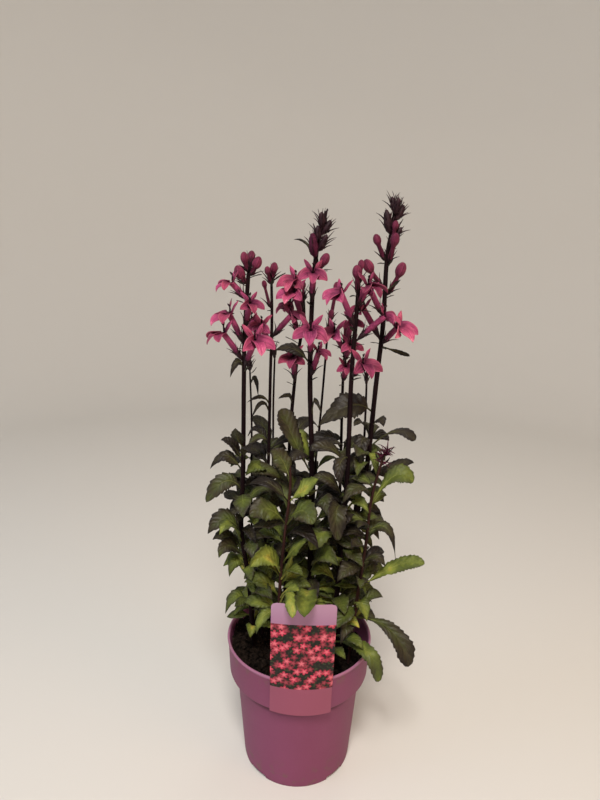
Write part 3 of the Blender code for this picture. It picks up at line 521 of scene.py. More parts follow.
LEAVES = [  # stem, height on it, middle, tip, width, turn, tone, whether it has a solid of its own
    ("a", 332, (-67, -12, 351), (-77, -14, 355), 11, 35, 0.12, False),
    ("a", 324, (-73, -14, 340), (-87, -16, 327), 12, 35, 0.15, False),
    ("a", 348, (-61, -20, 360), (-62, -26, 371), 11, 0, 0.2, False),
    ("a", 305, (-74, -14, 314), (-91, -18, 294), 16, 40, 0.3, True),
    ("a", 261, (-75, -14, 275), (-90, -20, 262), 18, 40, 0.35, True),
    ("a", 250, (-67, -30, 278), (-76, -40, 272), 13, 30, 0.65, False),
    ("a", 241, (-73, -12, 256), (-86, -16, 254), 14, 35, 0.25, False),
    ("a", 232, (-69, -28, 255), (-77, -38, 247), 14, 40, 0.3, False),
    ("a", 219, (-63, -18, 234), (-69, -26, 220), 13, 30, 0.65, False),
    ("a", 176, (-64, -14, 192), (-74, -20, 175), 11, 30, 0.6, False),
    ("m", 190, (-34, -46, 192), (-41, -52, 176), 10, 30, 0.7, False),
    ("c", 308, (-42, -6, 328), (-54, -16, 321), 14, 35, 0.55, False),
    ("e", 282, (-19, 2, 308), (-25, -4, 325), 14, 0, 0.3, False),
    ("m", 327, (-20, -38, 347), (-30, -42, 356), 16, 50, 0.35, False),
    ("m", 283, (-31, -50, 304), (-46, -58, 300), 18, 45, 0.5, True),
    ("m", 233, (-32, -54, 259), (-46, -66, 255), 17, 40, 0.8, True),
    ("c", 164, (-43, -4, 191), (-49, -12, 185), 10, 20, 0.6, False),
    ("c", 166, (-36, -8, 193), (-33, -16, 208), 10, 20, 0.6, False),
    ("m", 206, (-10, -50, 225), (-1, -62, 229), 10, 30, 0.95, False),
    ("m", 306, (2, -44, 323), (13, -50, 334), 14, 35, 0.8, True),
    ("m", 283, (-1, -50, 303), (9, -62, 296), 20, 35, 0.6, True),
    ("f", 280, (19, -18, 299), (25, -30, 285), 16, 30, 0.4, False),
    ("i", 288, (31, -36, 298), (33, -44, 271), 16, 10, 0.33, True),
    ("i", 282, (50, -24, 302), (61, -34, 294), 11, 30, 0.75, False),
    ("f", 243, (16, -30, 272), (8, -46, 262), 23, 10, 0.65, True),
    ("m", 243, (-5, -46, 265), (6, -54, 278), 13, 35, 0.7, False),
    ("f", 216, (20, -30, 249), (34, -44, 245), 18, 35, 0.55, True),
    ("m", 226, (-12, -44, 243), (-8, -50, 262), 7, 0, 0.85, False),
    ("e", 188, (-3, -6, 222), (5, -16, 239), 10, 30, 0.75, False),
    ("h", 206, (49, 8, 232), (60, -4, 229), 13, 35, 0.7, False),
    ("f", 322, (-11, -2, 356), (-22, 2, 382), 18, 30, 0.3, True),
    ("e", 350, (-4, 6, 357), (4, -2, 334), 10, 20, 0.75, False),
    ("k", 380, (41, 2, 386), (12, -2, 366), 25, 50, 0.2, True),
    ("h", 338, (23, 12, 352), (10, 4, 343), 17, 40, 0.15, True),
    ("i", 341, (33, -24, 337), (34, -30, 318), 11, 10, 0.2, False),
    ("k", 351, (54, -8, 355), (53, -16, 329), 13, 20, 0.15, False),
    ("m", 199, (-11, -70, 233), (-7, -94, 224), 11, 0, 0.9, False),
    ("f", 189, (6, -50, 221), (3, -92, 224), 17, 0, 0.74, False),
    ("l", 298, (83, -26, 328), (100, -30, 324), 16, 40, 0.68, True),
    ("l", 209, (91, -30, 239), (115, -38, 246), 13, 40, 0.7, True),
    ("k", 345, (86, 2, 362), (105, -2, 355), 10, 35, 0.15, True),
    ("k", 308, (90, 2, 328), (105, -2, 332), 10, 35, 0.2, False),
    ("k", 339, (66, -8, 338), (68, -14, 324), 8, 0, 0.72, False),
    ("k", 368, (70, -4, 376), (73, -10, 370), 10, 20, 0.1, False),
    ("l", 270, (79, -30, 277), (88, -36, 249), 13, 30, 0.4, False),
    ("l", 237, (70, -30, 248), (79, -36, 241), 12, 30, 0.25, False),
    ("l", 176, (88, -34, 171), (105, -50, 142), 14, 30, 0.3, True),
    ("i", 141, (63, -52, 161), (75, -62, 134), 13, 30, 0.6, True),
    ("l", 188, (59, -34, 200), (64, -42, 185), 14, 10, 0.75, False),
    ("i", 148, (51, -36, 163), (62, -44, 155), 12, 20, 0.6, False),
    ("i", 134, (37, -50, 159), (44, -58, 155), 8, 0, 0.6, False),
    ("i", 156, (42, -20, 184), (50, -22, 206), 8, 0, 0.55, False),
    ("k", 143, (52, -6, 176), (62, -10, 196), 8, 0, 0.5, False),
]
BRACTS = [  # stem, height on it, middle, tip, width
    ("a", 424, (-62, -10, 428), (-68, -12, 414), 6),
    ("b", 400, (-48, 23, 405), (-45, 20, 389), 4),
    ("c", 385, (-42, 6, 392), (-54, 2, 387), 4),
    ("c", 378, (-41, 4, 386), (-50, 0, 372), 4),
    ("f", 428, (-12, -8, 441), (-28, -10, 439), 9),
    ("f", 380, (9, -10, 394), (15, -14, 382), 4),
    ("f", 520, (-3, -8, 533), (-13, -10, 535), 3),
    ("k", 442, (88, 2, 437), (94, 0, 435), 4),
    ("k", 492, (76, 2, 498), (81, 0, 503), 4),
    ("e", 383, (-16, 10, 392), (-25, 4, 391), 5),
]
FILL = [  # stem, lowest and highest leaf, how many
    ("a", 160, 330, 3), ("b", 175, 325, 4), ("c", 160, 340, 4), ("d", 175, 340, 3),
    ("e", 160, 340, 4), ("f", 150, 345, 4), ("g", 170, 345, 3), ("h", 165, 345, 4),
    ("i", 160, 330, 3), ("j", 170, 345, 4), ("k", 170, 350, 3), ("l", 165, 300, 2),
    ("m", 160, 300, 2),
]
THICKET = [  # stem, lowest and highest leaf
    ("a", 152, 345), ("b", 160, 335), ("c", 155, 350), ("d", 165, 350), ("e", 152, 355), ("f", 152, 360),
    ("g", 160, 355), ("h", 160, 355), ("i", 158, 350), ("j", 165, 350), ("k", 160, 360), ("l", 160, 318),
    ("m", 165, 315),
]
VIEW_POINT = Vector((-5.0, -538.0, 540.0)) * MM
DEPTH_STEPS = range(0, 25, 3)  # how far a solid may stand from its place here, in millimetres
DEPTH_MATCH = 0.3 * MM
GOLDEN_ANGLE = math.radians(137.5)
ROOTED = -0.5  # from the stem's surface to the foot of a flower, bud or bract, which is inside
LEAF_ROOTED = -0.3
PLAIN_FORM = (0.42, 1.1, 0.15)
LEAF_FORMS = {  # where a leaf is broadest, how slowly its tip narrows, how dry the tip is
    ("l", 298): (0.66, 0.5, 0.1), ("l", 209): (0.58, 0.62, 0.1), ("l", 176): (0.74, 0.45, 0.1),
    ("i", 141): (0.6, 0.45, 0.1), ("k", 345): (0.8, 0.5, 0.1), ("f", 322): (0.68, 0.45, 0.1),
    ("k", 380): (0.4, 1.2, 0.1), ("l", 270): (0.34, 1.9, 0.9), ("i", 288): (0.55, 0.6, 0.1),
    ("f", 243): (0.5, 0.7, 0.1), ("m", 283): (0.55, 0.7, 0.1), ("m", 233): (0.4, 0.8, 0.1),
    ("a", 305): (0.5, 0.7, 0.1), ("a", 324): (0.35, 1.1, 0.1), ("a", 332): (0.4, 1.2, 0.1),
    ("e", 350): (0.62, 0.5, 0.1), ("h", 338): (0.6, 0.4, 0.1), ("f", 280): (0.4, 1.0, 0.1),
    ("m", 199): (0.76, 0.75, 0.1), ("f", 189): (0.72, 0.6, 0.1),
}
WIDER = {("l", 176): 1.32}
BLADE_GAIN = 1.06
STALK_SHARE = 0.1
STALK_HALF = 0.8 * MM
LEAF_THICK = 0.45 * MM
FOLD = (0.15, 0.6)
ARCH = (0.0, 0.4)
RIPPLE = (0.06, 0.24)
RIPPLE_WAVES = (1.2, 3.0)
TWIST = (-0.5, 0.5)  # radians from stalk to tip
DRYING = (0.4, 1.6)
TOOTH = 0.22
TOOTH_UNEVEN = 0.12
TOOTH_EVERY = 4.6 * MM
TOOTHED_PART = (0.2, 0.97)
LARGE_GRID = (12, 48)
SMALL_GRID = (8, 30)
THICKET_GRID = (4, 9)
SLIVER_GRID = (2, 8)
RIB_STEPS = 8
RIB_REACH = 0.85
RIB_RADIUS = 0.85 * MM
RIB_TAPER = 0.65 * MM
RIB_SINKS = 0.6  # leaf thicknesses below the blade
RIB_SIDES = 5
THINNEST = 0.05 * MM
BRACT_TURN = 55
BRACT_TONE = 0.12
BUSH_TURN = 20
BUSH_REACH = (0.5, 0.95)  # outward shares of a leaf's length, for its middle and tip
BUSH_FOOT = 140
BUSH_DARKENS = 330  # height over which the tone falls by 1
FILL_LENGTHS = (38, 52)
FILL_RISES = (0.35, 0.65)
FILL_DROOP = 0.15
FILL_WIDTHS = (0.36, 0.42)
FILL_TONES = (0.12, 0.8, 0.85, (-0.3, 0.2))  # darkest, lightest, at the foot, and spread
INWARD = -25  # a leaf is shorter if it grows back across the bush from further out than this
INWARD_SHARE = 0.7
THICKET_SPACING = 7
THICKET_LENGTHS = (24, 40)
THICKET_RISES = (0.0, 0.6)
THICKET_DROOPS = (-0.05, 0.35)
THICKET_WIDTHS = (0.34, 0.46)
THICKET_TONES = (0.06, 0.85, 0.83, (-0.4, 0.22))
THICKET_WIDEST = (0.36, 0.55)
THICKET_BLUNTNESS = (0.8, 1.15)
THICKET_DRYING = 0.15
THICKET_SWINGS = (0, 40, -40, 80, -80, 120)  # degrees, tried in this order
THINS_OUT = (285, 120)  # from this height, ever fewer leaves over the next
CELL = 3.5 * MM
SHARED_CELLS = 3  # a leaf has room if it shares fewer
CELL_STEPS = 12
STALK_STEPS = 3
CELL_LINES = (-0.4, 0.0, 0.4)  # shares of the width, across the blade
BUSH_MIDDLE = (3, 8)
BUSH_HALF = (84, 70)
BUSH_HEIGHTS = (148, 378)
OVER_LABEL = 160
INSIDE_LIP = 60
LEAF_COLOURS = ((0.0, (0.013, 0.009, 0.007)), (0.2, (0.034, 0.028, 0.014)), (0.36, (0.044, 0.050, 0.015)),
                (0.6, (0.084, 0.105, 0.018)), (0.82, (0.215, 0.245, 0.042)), (1.0, (0.47, 0.37, 0.06)))
VEIN_LIGHT = (0.32, 0.33, 0.10)
UNDERSIDE_PALE = (0.16, 0.17, 0.10)
VEINS_A_LEAF = 8.0


def upright(height):
    """A step straight up."""
    return Vector((0.0, 0.0, height))


def level(turn):
    """The level direction at an angle around the pot."""
    return Vector((math.cos(turn), math.sin(turn), 0.0))


def level_between(start, end):
    """The level direction from one place towards another."""
    return Vector((end.x - start.x, end.y - start.y, 0.0)).normalized()


def bow(start, middle, end, t):
    """A point and the direction there, on the curve from start through middle to end."""
    knee = middle * 2 - (start + end) * 0.5
    point = start * (1 - t) ** 2 + knee * (2 * t * (1 - t)) + end * t**2
    along = (knee - start) * (1 - t) + (end - knee) * t
    return point, along.normalized()


def foot_on(stem, height, towards, margin):
    """The place where something that reaches towards a point leaves its stem."""
    axis = at_height(STEM_PATHS[stem], height)
    return axis + level_between(axis, towards) * (stem_radius(stem, height) + margin)


def shifted(point, depth):
    """A point moved back along the line of sight, so that it stays at its place in the photograph."""
    line = point - VIEW_POINT
    return point + line * (depth / line.y)


def corners_of(node_name):
    """The corners of a solid, ready to be searched."""
    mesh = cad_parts[node_name].data
    tree = kdtree.KDTree(len(mesh.vertices))
    for vert in mesh.vertices:
        tree.insert(vert.co, vert.index)
    tree.balance()
    return tree


CORNERS = {name: corners_of(name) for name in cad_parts}


def settled(node_name, middle, tip, farthest):
    """The leaf, bud or flower as the frame holds it: moved in depth until its farthest point is a corner."""
    found = []
    for step in DEPTH_STEPS:
        for depth in (step * MM, -step * MM):
            variant = shifted(middle, depth * 0.6), shifted(tip, depth)
            gap = CORNERS[node_name].find(farthest(*variant))[2]
            found.append((gap, step, variant))
    gap, _, variant = min(found, key=lambda row: row[:2])
    return variant if gap < DEPTH_MATCH else None


def outline_share(t, form):
    """A leaf's half width along its length: a thin stalk, then a body that is broadest at one place."""
    widest, bluntness, _ = form
    t = max(t - STALK_SHARE, 0.0) / (1 - STALK_SHARE)
    return (t / widest) ** (bluntness * widest / (1 - widest)) * ((1 - t) / (1 - widest)) ** bluntness


def leaf_frame(start, end, turn, heading):
    """The blade's sideways and upward directions at a place where it runs along heading."""
    outward = level_between(start, end)
    across = outward.cross(upright(1.0))
    side = (across - heading * across.dot(heading)).normalized()
    facing = math.radians(turn) * (1.0 if outward.x > 0 else -1.0)
    side = Matrix.Rotation(facing, 3, heading) @ side
    return side, side.cross(heading)


def second_material(made):
    """Gives the faces among what an operator made the piece's second material."""
    for item in made:
        if isinstance(item, bmesh.types.BMFace):
            item.material_index = 1


def blade(line, width, turn, tone, chance, grid, form=PLAIN_FORM):
    """One leaf, along a line of start, middle and end.

    Its marks say where a corner lies across and along the blade, and the leaf's tone.
    """
    start, _, end = line
    bm = bmesh.new()
    marks = bm.verts.layers.float_vector.new("leaf_marks")
    bmesh.ops.create_grid(bm, x_segments=grid[0], y_segments=grid[1], size=1.0)
    fold, arch = chance.uniform(*FOLD), chance.uniform(*ARCH)
    ripple, waves = chance.uniform(*RIPPLE), chance.uniform(*RIPPLE_WAVES)
    phase = chance.uniform(0, math.tau)
    teeth = max(4, round((end - start).length / TOOTH_EVERY))
    twist, drying = chance.uniform(*TWIST), form[2] * chance.uniform(*DRYING)
    for vert in bm.verts:
        across, t = vert.co.x, (vert.co.y + 1) / 2
        point, heading = bow(*line, t)
        side, _ = leaf_frame(start, end, turn, heading)
        side = Matrix.Rotation(twist * t, 3, heading) @ side
        up = side.cross(heading)
        half = max(outline_share(t, form) * width / 2, STALK_HALF * (1 - t) ** 0.5)
        edge = abs(across)
        if edge > 0.99 and TOOTHED_PART[0] < t < TOOTHED_PART[1]:
            uneven = noise.noise(Vector((t * teeth * 0.7, across, phase)))
            half *= 1 + TOOTH * ((t * teeth) % 1.0 - 0.3) + TOOTH_UNEVEN * uneven
        wave = ripple * edge**2 * math.sin(phase + waves * math.tau * t + across)
        rise = fold * edge - arch * edge**2 + wave
        vert.co = point + side * across * half + up * rise * half
        vert[marks] = (across, t, tone - drying * t**2)
    bmesh.ops.remove_doubles(bm, verts=bm.verts, dist=2 * WELD)
    second_material(bmesh.ops.solidify(bm, geom=list(bm.faces), thickness=LEAF_THICK)["geom"])
    return bm


def rod(path, radii, sides, layer, marks_of):
    """A round rod that changes its thickness, grown ring by ring along a path of (point, heading).

    The first of its marks says how strongly it is ribbed along its length.
    """
    bm = bmesh.new()
    marks = bm.verts.layers.float_vector.new(layer)
    places = []
    for (point, heading), radius in zip(path, radii):
        turn = heading.to_track_quat("Z", "Y").to_matrix().to_4x4()
        places.append(Matrix.Translation(point) @ turn @ Matrix.Scale(max(radius, THINNEST), 4))

    def mark(ring, i):
        ribbed, along, tone = marks_of(i)
        untwisted = places[i].inverted()
        for vert in ring:
            x, y, _ = untwisted @ vert.co
            vert[marks] = (2 * ribbed * math.sin(3 * math.atan2(y, x)), along, tone)

    ring = bmesh.ops.create_circle(bm, cap_ends=True, segments=sides, radius=1.0, matrix=places[0])["verts"]
    mark(ring, 0)
    edges = list(bm.edges)
    for i, (before, after) in enumerate(zip(places, places[1:])):
        grown = bmesh.ops.extrude_edge_only(bm, edges=edges)["geom"]
        ring = [item for item in grown if isinstance(item, bmesh.types.BMVert)]
        edges = [item for item in grown if isinstance(item, bmesh.types.BMEdge)
                 and item.verts[0] in ring and item.verts[1] in ring]
        bmesh.ops.transform(bm, verts=ring, matrix=after @ before.inverted())
        mark(ring, i + 1)
    bmesh.ops.contextual_create(bm, geom=edges)
    bmesh.ops.recalc_face_normals(bm, faces=bm.faces)
    return bm


def midrib(line, turn, tone):
    """The leaf's stalk, which runs on below the blade as its midrib."""
    path, radii = [], []
    for i in range(RIB_STEPS):
        share = i / (RIB_STEPS - 1)
        point, heading = bow(*line, RIB_REACH * share)
        up = leaf_frame(line[0], line[2], turn, heading)[1]
        path.append((point - up * LEAF_THICK * RIB_SINKS, heading))
        radii.append(RIB_RADIUS - RIB_TAPER * share)
    return rod(path, radii, RIB_SIDES, "leaf_marks", lambda i: (0.0, 0.1 * i, tone))


def gather(into, small):
    """Adds a small shape to a larger one."""
    mesh = mesh_from("small", small)
    into.from_mesh(mesh)
    bpy.data.meshes.remove(mesh)


def shapes_by_stem(layer):
    """An empty shape for each stem, which carries the marks of its material."""
    shapes = {stem: bmesh.new() for stem in STEMS}
    for bm in shapes.values():
        bm.verts.layers.float_vector.new(layer)
    return shapes


def colour_ramp(value, stops):
    """The colour at a value between 0 and 1, blended between stops of (value, colour)."""
    ramp = node(value.tree, "ValToRGB", {0: value})
    elements = ramp.color_ramp.elements
    for i, (position, colour) in enumerate(stops):
        stop = elements[i] if i < 2 else elements.new(position)
        stop.position = position
        stop.color = (*colour, 1.0)
    return Signal(ramp.outputs[0])


def marks_in(tree, layer):
    """The three numbers that the corners of a piece carry for its material."""
    return parts_of(signal(tree, "Attribute", output="Vector", attribute_name=layer))


def leaf_skin(name, roughness, paler):
    """Leaf tissue: its tone sets the colour, its midrib and side veins are lighter and sunk in."""
    material, tree, sockets = new_material(name, roughness, specular=0.22)
    across, along, tone = marks_in(tree, "leaf_marks")
    edge = abs(across)
    blotched = {"Vector": place_in(tree), "Scale": 45.0, "Detail": 5.0, "Roughness": 0.6}
    blotch = signal(tree, "TexNoise", blotched)
    lighter = maths("MINIMUM", (blotch - 0.5) * 1.1, 0.16)
    base = colour_ramp(tone + 0.04 + lighter - edge**2.0 * 0.24, LEAF_COLOURS)
    slant = along * VEINS_A_LEAF - edge * 1.6 + blotch * 2.5
    between = abs(maths("FRACT", slant) - 0.5)
    side_vein = smooth_step(between, 0.06, 0.0) * smooth_step(edge, 0.95, 0.6)
    rib = smooth_step(edge, 0.13, 0.03) * smooth_step(along, 0.8, 0.2)
    vein = maths("MAXIMUM", rib, side_vein * 0.25)
    light = colour_mix(tree, 0.6, base, VEIN_LIGHT)
    colour = colour_mix(tree, vein * (tone * 0.8 + 0.08), base, light)
    feed(sockets["Base Color"], colour_mix(tree, paler, colour, UNDERSIDE_PALE))
    add_bump(sockets, between + blotch * 1.6 - rib, 0.8 * MM)
    return material


leaf_finish = [leaf_skin("leaf_upper_skin", 0.5, 0.0), leaf_skin("leaf_lower_skin", 0.65, 0.15)]
foliage = shapes_by_stem("leaf_marks")
taken = set()


def sprig(foot, out, length, *places):
    """Places on a small leaf, each given as shares of its length outwards and upwards."""
    return [foot + out * length * reach + upright(length * rise) for reach, rise in places]


def bush_tone(height, chance, darkest, brightest, at_foot, spread):
    """Leaves low in the bush are light green, and the higher a leaf grows, the darker it tends to be."""
    tone = at_foot - (height - BUSH_FOOT) / BUSH_DARKENS + chance.uniform(*spread)
    return min(brightest, max(darkest, tone))


def fill_leaves():
    """The leaves that fill the bush. They climb each stem in a spiral."""
    for stem, low, high, count in FILL:
        chance = random.Random("fill " + stem)
        turn = chance.uniform(0, math.tau)
        for i in range(count):
            height = low + (high - low) * (i + 0.5) / count
            turn += GOLDEN_ANGLE
            length = chance.uniform(*FILL_LENGTHS)
            foot = at_height(STEM_PATHS[stem], height * MM) / MM
            out = level(turn)
            if out.dot(Vector((foot.x, foot.y, 0.0))) < INWARD:
                length *= INWARD_SHARE
            rise = chance.uniform(*FILL_RISES)
            places = (BUSH_REACH[0], rise), (BUSH_REACH[1], rise - FILL_DROOP)
            middle, tip = sprig(foot, out, length, *places)
            width = length * chance.uniform(*FILL_WIDTHS)
            tone = bush_tone(height, chance, *FILL_TONES)
            yield stem, height, middle, tip, width, BUSH_TURN, tone, False


def cell_at(place):
    """The small cell of space that a place lies in."""
    return tuple(round(c / CELL) for c in place)


def cells_of(line, width, turn):
    """The cells that a blade passes through, beyond its stalk."""
    found = set()
    for i in range(STALK_STEPS, CELL_STEPS + 1):
        point, heading = bow(*line, i / CELL_STEPS)
        side, _ = leaf_frame(line[0], line[2], turn, heading)
        found.update(cell_at(point + side * across * width) for across in CELL_LINES)
    return found


def grow_leaves(rows):
    """The leaves that the solids have too, each as a piece of its own or with its stem's other leaves."""
    own = 0
    for i, (stem, height, middle, tip, width, turn, tone, own_piece) in enumerate(rows):
        own += own_piece
        node_name = f"leaf_{own:02d}" if own_piece else "stem_" + stem
        variant = settled(node_name, Vector(middle) * MM, Vector(tip) * MM, lambda mid, end: end)
        if variant is None:
            continue
        line = foot_on(stem, height * MM, variant[1], LEAF_ROOTED * MM), *variant
        taken.update(cells_of(line, width * MM, turn))
        form = LEAF_FORMS.get((stem, height), PLAIN_FORM)
        width *= WIDER.get((stem, height), BLADE_GAIN)
        grid = LARGE_GRID if own_piece else SMALL_GRID
        leaf = blade(line, width * MM, turn, tone, random.Random(i), grid, form)
        gather(leaf, midrib(line, turn, tone))
        if own_piece:
            piece_from(f"{node_name}_blade", leaf, "leaf_blades", leaf_finish, [node_name])
        else:
            gather(foliage[stem], leaf)


def in_bush(point):
    """Whether a point in millimetres is inside the bush and clear of the pot's lip and the label."""
    x, y, z = point
    off_x, off_y = (x - BUSH_MIDDLE[0]) / BUSH_HALF[0], (y - BUSH_MIDDLE[1]) / BUSH_HALF[1]
    if off_x**2 + off_y**2 > 1 or not BUSH_HEIGHTS[0] < z < BUSH_HEIGHTS[1]:
        return False
    return z > OVER_LABEL or x * x + y * y < INSIDE_LIP**2


def thicket_line(stem, height, turn, length, rise, droop, width):
    """The line of a small leaf in the first direction near its turn that has room, or None."""
    foot = at_height(STEM_PATHS[stem], height * MM) / MM
    for swing in THICKET_SWINGS:
        out = level(turn + math.radians(swing))
        middle, tip = sprig(foot, out, length, (BUSH_REACH[0], rise), (BUSH_REACH[1], rise - droop))
        line = foot_on(stem, height * MM, tip * MM, LEAF_ROOTED * MM), middle * MM, tip * MM
        cells = cells_of(line, width * MM, BUSH_TURN)
        if in_bush(tip) and len(cells & taken) < SHARED_CELLS:
            taken.update(cells)
            return line
    return None


def grow_thicket():
    """Smaller leaves all the way up each stem, wherever there is room between those already there."""
    for stem, low, high in THICKET:
        chance = random.Random("thicket " + stem)
        turn = chance.uniform(0, math.tau)
        for height in range(low, high, THICKET_SPACING):
            turn += GOLDEN_ANGLE
            if chance.random() < (height - THINS_OUT[0]) / THINS_OUT[1]:
                continue
            length = chance.uniform(*THICKET_LENGTHS)
            rise, droop = chance.uniform(*THICKET_RISES), chance.uniform(*THICKET_DROOPS)
            width = length * chance.uniform(*THICKET_WIDTHS)
            tone = bush_tone(height, chance, *THICKET_TONES)
            line = thicket_line(stem, height, turn, length, rise, droop, width)
            if line:
                shape = random.Random(f"{stem} {height}")
                form = (shape.uniform(*THICKET_WIDEST), shape.uniform(*THICKET_BLUNTNESS), THICKET_DRYING)
                gather(foliage[stem], blade(line, width * MM, BUSH_TURN, tone, shape, THICKET_GRID, form))


bract_rows = [(*row, BRACT_TURN, BRACT_TONE, False) for row in BRACTS]
grow_leaves([*LEAVES, *bract_rows, *fill_leaves()])
for path in STEM_CURVES.values():
    taken.update(cell_at(place) for place in path)
grow_thicket()

# The flowers. Each has a plum tube that opens into two narrow upright lobes and three broad lower
# ones, with a dark column between. The tube sits in a dark cup with five thin teeth on the stem.

FLOWERS = [  # stem, height on it, middle of the mouth, size
    ("a", 483, (-66, -12, 498), 12),
    ("a", 458, (-49, -24, 482), 11),
    ("a", 443, (-68, -14, 471), 15),
    ("a", 446, (-50, 8, 462), 10),
    ("a", 428, (-73, -18, 455), 14),
    ("a", 422, (-44, -34, 452), 16),
    ("c", 447, (-14, -2, 470), 12),
    ("e", 470, (-11, 4, 500), 15),
    ("e", 461, (-12, -4, 490), 14),
    ("e", 444, (-16, 2, 478), 11),
    ("e", 404, (-12, 4, 431), 13),
    ("f", 482, (4, -16, 508), 13),
    ("f", 430, (3, -32, 461), 16),
    ("i", 461, (28, -24, 492), 14),
    ("h", 433, (25, 6, 454), 14),
    ("h", 424, (40, 4, 443), 11),
    ("i", 479, (51, -24, 499), 14),
    ("k", 448, (49, -8, 478), 11),
    ("i", 449, (67, -18, 473), 12),
    ("i", 417, (49, -30, 433), 15),
    ("k", 470, (55, -6, 493), 9),
    ("k", 444, (80, -8, 462), 17),
    ("c", 438, (-40, -12, 461), 12),
    ("h", 404, (37, 8, 422), 9),
    ("f", 414, (11, -16, 440), 9),
    ("h", 434, (40, 0, 465), 10),
]
LOBES = (  # angle around the mouth, then forward, upward and sideways, length, and droop
    (36, (-0.1, 0.8, 0.55), 0.95, 0.0),
    (108, (0.5, -0.35, 0.8), 1.0, 0.2),
    (180, (0.8, -0.6, 0.0), 1.0, 0.25),
    (252, (0.5, -0.35, -0.8), 1.0, 0.2),
    (324, (-0.1, 0.8, -0.55), 0.95, 0.0),
)
LOWEST_LOBE = LOBES[2]
TUBE_SAG = 0.06
TUBE = (  # rings of (share of the way from the stem to the mouth, radius)
    (0.3, 2.0), (0.42, 2.5), (0.6, 2.7), (0.8, 2.6), (0.94, 2.6), (1.0, 2.8),
)
THROAT = ((0.97, 2.2), (0.88, 1.6))
TUBE_SIDES = 12
TUBE_SHADES = (0.36, 0.3)  # at the stem, and what is added at the mouth
THROAT_SHADE = 0.05
LOBE_ROOT = 2.3
LOBE_GRID = (8, 14)
LOBE_THICK = 0.3 * MM
UPPER_SHAPE = (0.36, 0.5, 0.3)  # width for the flower's size, waist, and how cupped
LOWER_SHAPE = (0.8, 0.88, -0.3)
LOBE_BOWS = (0.05, 0.12)  # upper and lower
LOBE_SWAY = 0.07
LOBE_ROLL = 0.45  # radians
LOBE_SHADE_FROM = 0.3
LOBE_LIGHTS = (0.8, 1.0)
LOBE_STARTS = (1.6, 0.6)  # along the lobe, and back into the tube
EDGE_WAVE = 0.08
RUFFLE = 0.12
CREASE = 0.1
CREASE_NARROW = 16
COLUMN = (  # millimetres forward and up from the mouth, how far it leans forward there, and its radius
    ((-2.0, 0.0), 0.0, 0.8), ((0.0, 2.0), 0.0, 0.8), ((0.6, 5.0), 0.0, 0.8), ((2.0, 7.5), 0.5, 1.1),
    ((4.0, 8.3), 1.0, 0.5),
)
COLUMN_SIDES = 7
CUP = ((0.0, 0.8), (0.1, 1.0), (0.16, 1.7), (0.23, 2.4), (0.3, 2.7), (0.36, 2.5))
CUP_SIDES = 9
CUP_TEETH = (0.3, 2.3, 9.5)  # where they stand on the flower's line, the radius there, and their length
TEETH = 5
TOOTH_RADII = (0.7, 0.6, 0.45, 0.3, 0.1)
TOOTH_SIDES = 4
TOOTH_SWAY = 0.2  # radians around the cup
TOOTH_LEANS = (0.2, 0.9)
TOOTH_LENGTHS = (0.7, 1.1)
BRACT_LENGTHS = (9, 16)
BRACT_WIDTHS = (1.8, 3.2)
BRACT_RISES = (0.1, 0.7)
BRACT_SWING = 0.7  # radians
BRACT_BELOW = (3, 2)  # how far under a flower and under a bud
BRACT_SHADE = 0.06
# Painted light: the listed flowers are painted brighter as if well lit, and the shaded ones darker as painted
# shade. The usual ones vary at random in tint.
PAINTED_LIT_FLOWERS = (6, 8, 9, 14, 15, 16, 22)
PAINTED_LIT_RANGE = (0.92, 1.0)
USUAL = (0.65, 0.88)
SHADED_FLOWERS = (7, 12, 17, 20)
SHADED = 0.8
TRAY_LIPS = (1, 3, 5, 17)  # flowers seen from the side, whose lower lobes lie flat
# Towards the last stop, which only the tips of the brightest lobes reach, the pink pales into a painted
# highlight.
PETAL_COLOURS = ((0.0, (0.052, 0.007, 0.022)), (0.4, (0.172, 0.027, 0.064)), (0.8, (0.46, 0.070, 0.156)),
                 (1.0, (0.86, 0.28, 0.38)))
# Pale rim colour: partly the petals' own paler margin, partly a painted highlight.
PETAL_RIM_AND_HIGHLIGHT = (0.62, 0.22, 0.28)
CUP_DARK = (0.010, 0.003, 0.006)
CUP_GREEN = (0.034, 0.011, 0.015)


def petal_skin():
    """Petal tissue: plum at the tube's foot, magenta to pink in the lobes, with fine streaks along, painted
    shade down each lobe's middle crease and a pale rim that is partly painted highlight.
    """
    material, tree, sockets = new_material("petal_skin", roughness=0.5, specular=0.12)
    across, along, tint_and_painted_light = marks_in(tree, "petal_marks")
    edge = abs(across)
    blotch = speckle(place_in(tree), 120.0, 3.0)
    own_pattern = tint_and_painted_light * 37.0
    streaked = signal(tree, "CombineXYZ", {0: across * 5.0, 1: along, 2: own_pattern})
    streaks = speckle(streaked, 2.5, 2.0)
    shade = (along + (blotch - 0.5) * 0.8 + 0.05) * tint_and_painted_light
    # The darkening down the middle of each lobe, at its crease, is painted shade.
    shade = shade - smooth_step(streaks, 0.45, 0.7) * 0.3 - smooth_step(edge, 0.12, 0.02) * 0.16
    tint = maths("FRACT", own_pattern) * 0.02 + 0.488
    colour = signal(tree, "HueSaturation", {"Hue": tint, "Color": colour_ramp(shade, PETAL_COLOURS)})
    # The pale rim is partly the petals' own margin and partly a painted highlight.
    rim = smooth_step(edge, 0.7, 1.0) * 0.3 * smooth_step(along, 0.5, 0.9)
    feed(sockets["Base Color"], colour_mix(tree, rim, colour, PETAL_RIM_AND_HIGHLIGHT))
    add_bump(sockets, streaks + blotch, 0.7 * MM)
    return material


petal_finish = petal_skin()
cup_finish = cloudy_finish("cup_skin", (0.6, 0.2), (CUP_DARK, CUP_GREEN), 160.0, 2.0, 0.3 * MM)
cups = shapes_by_stem("petal_marks")


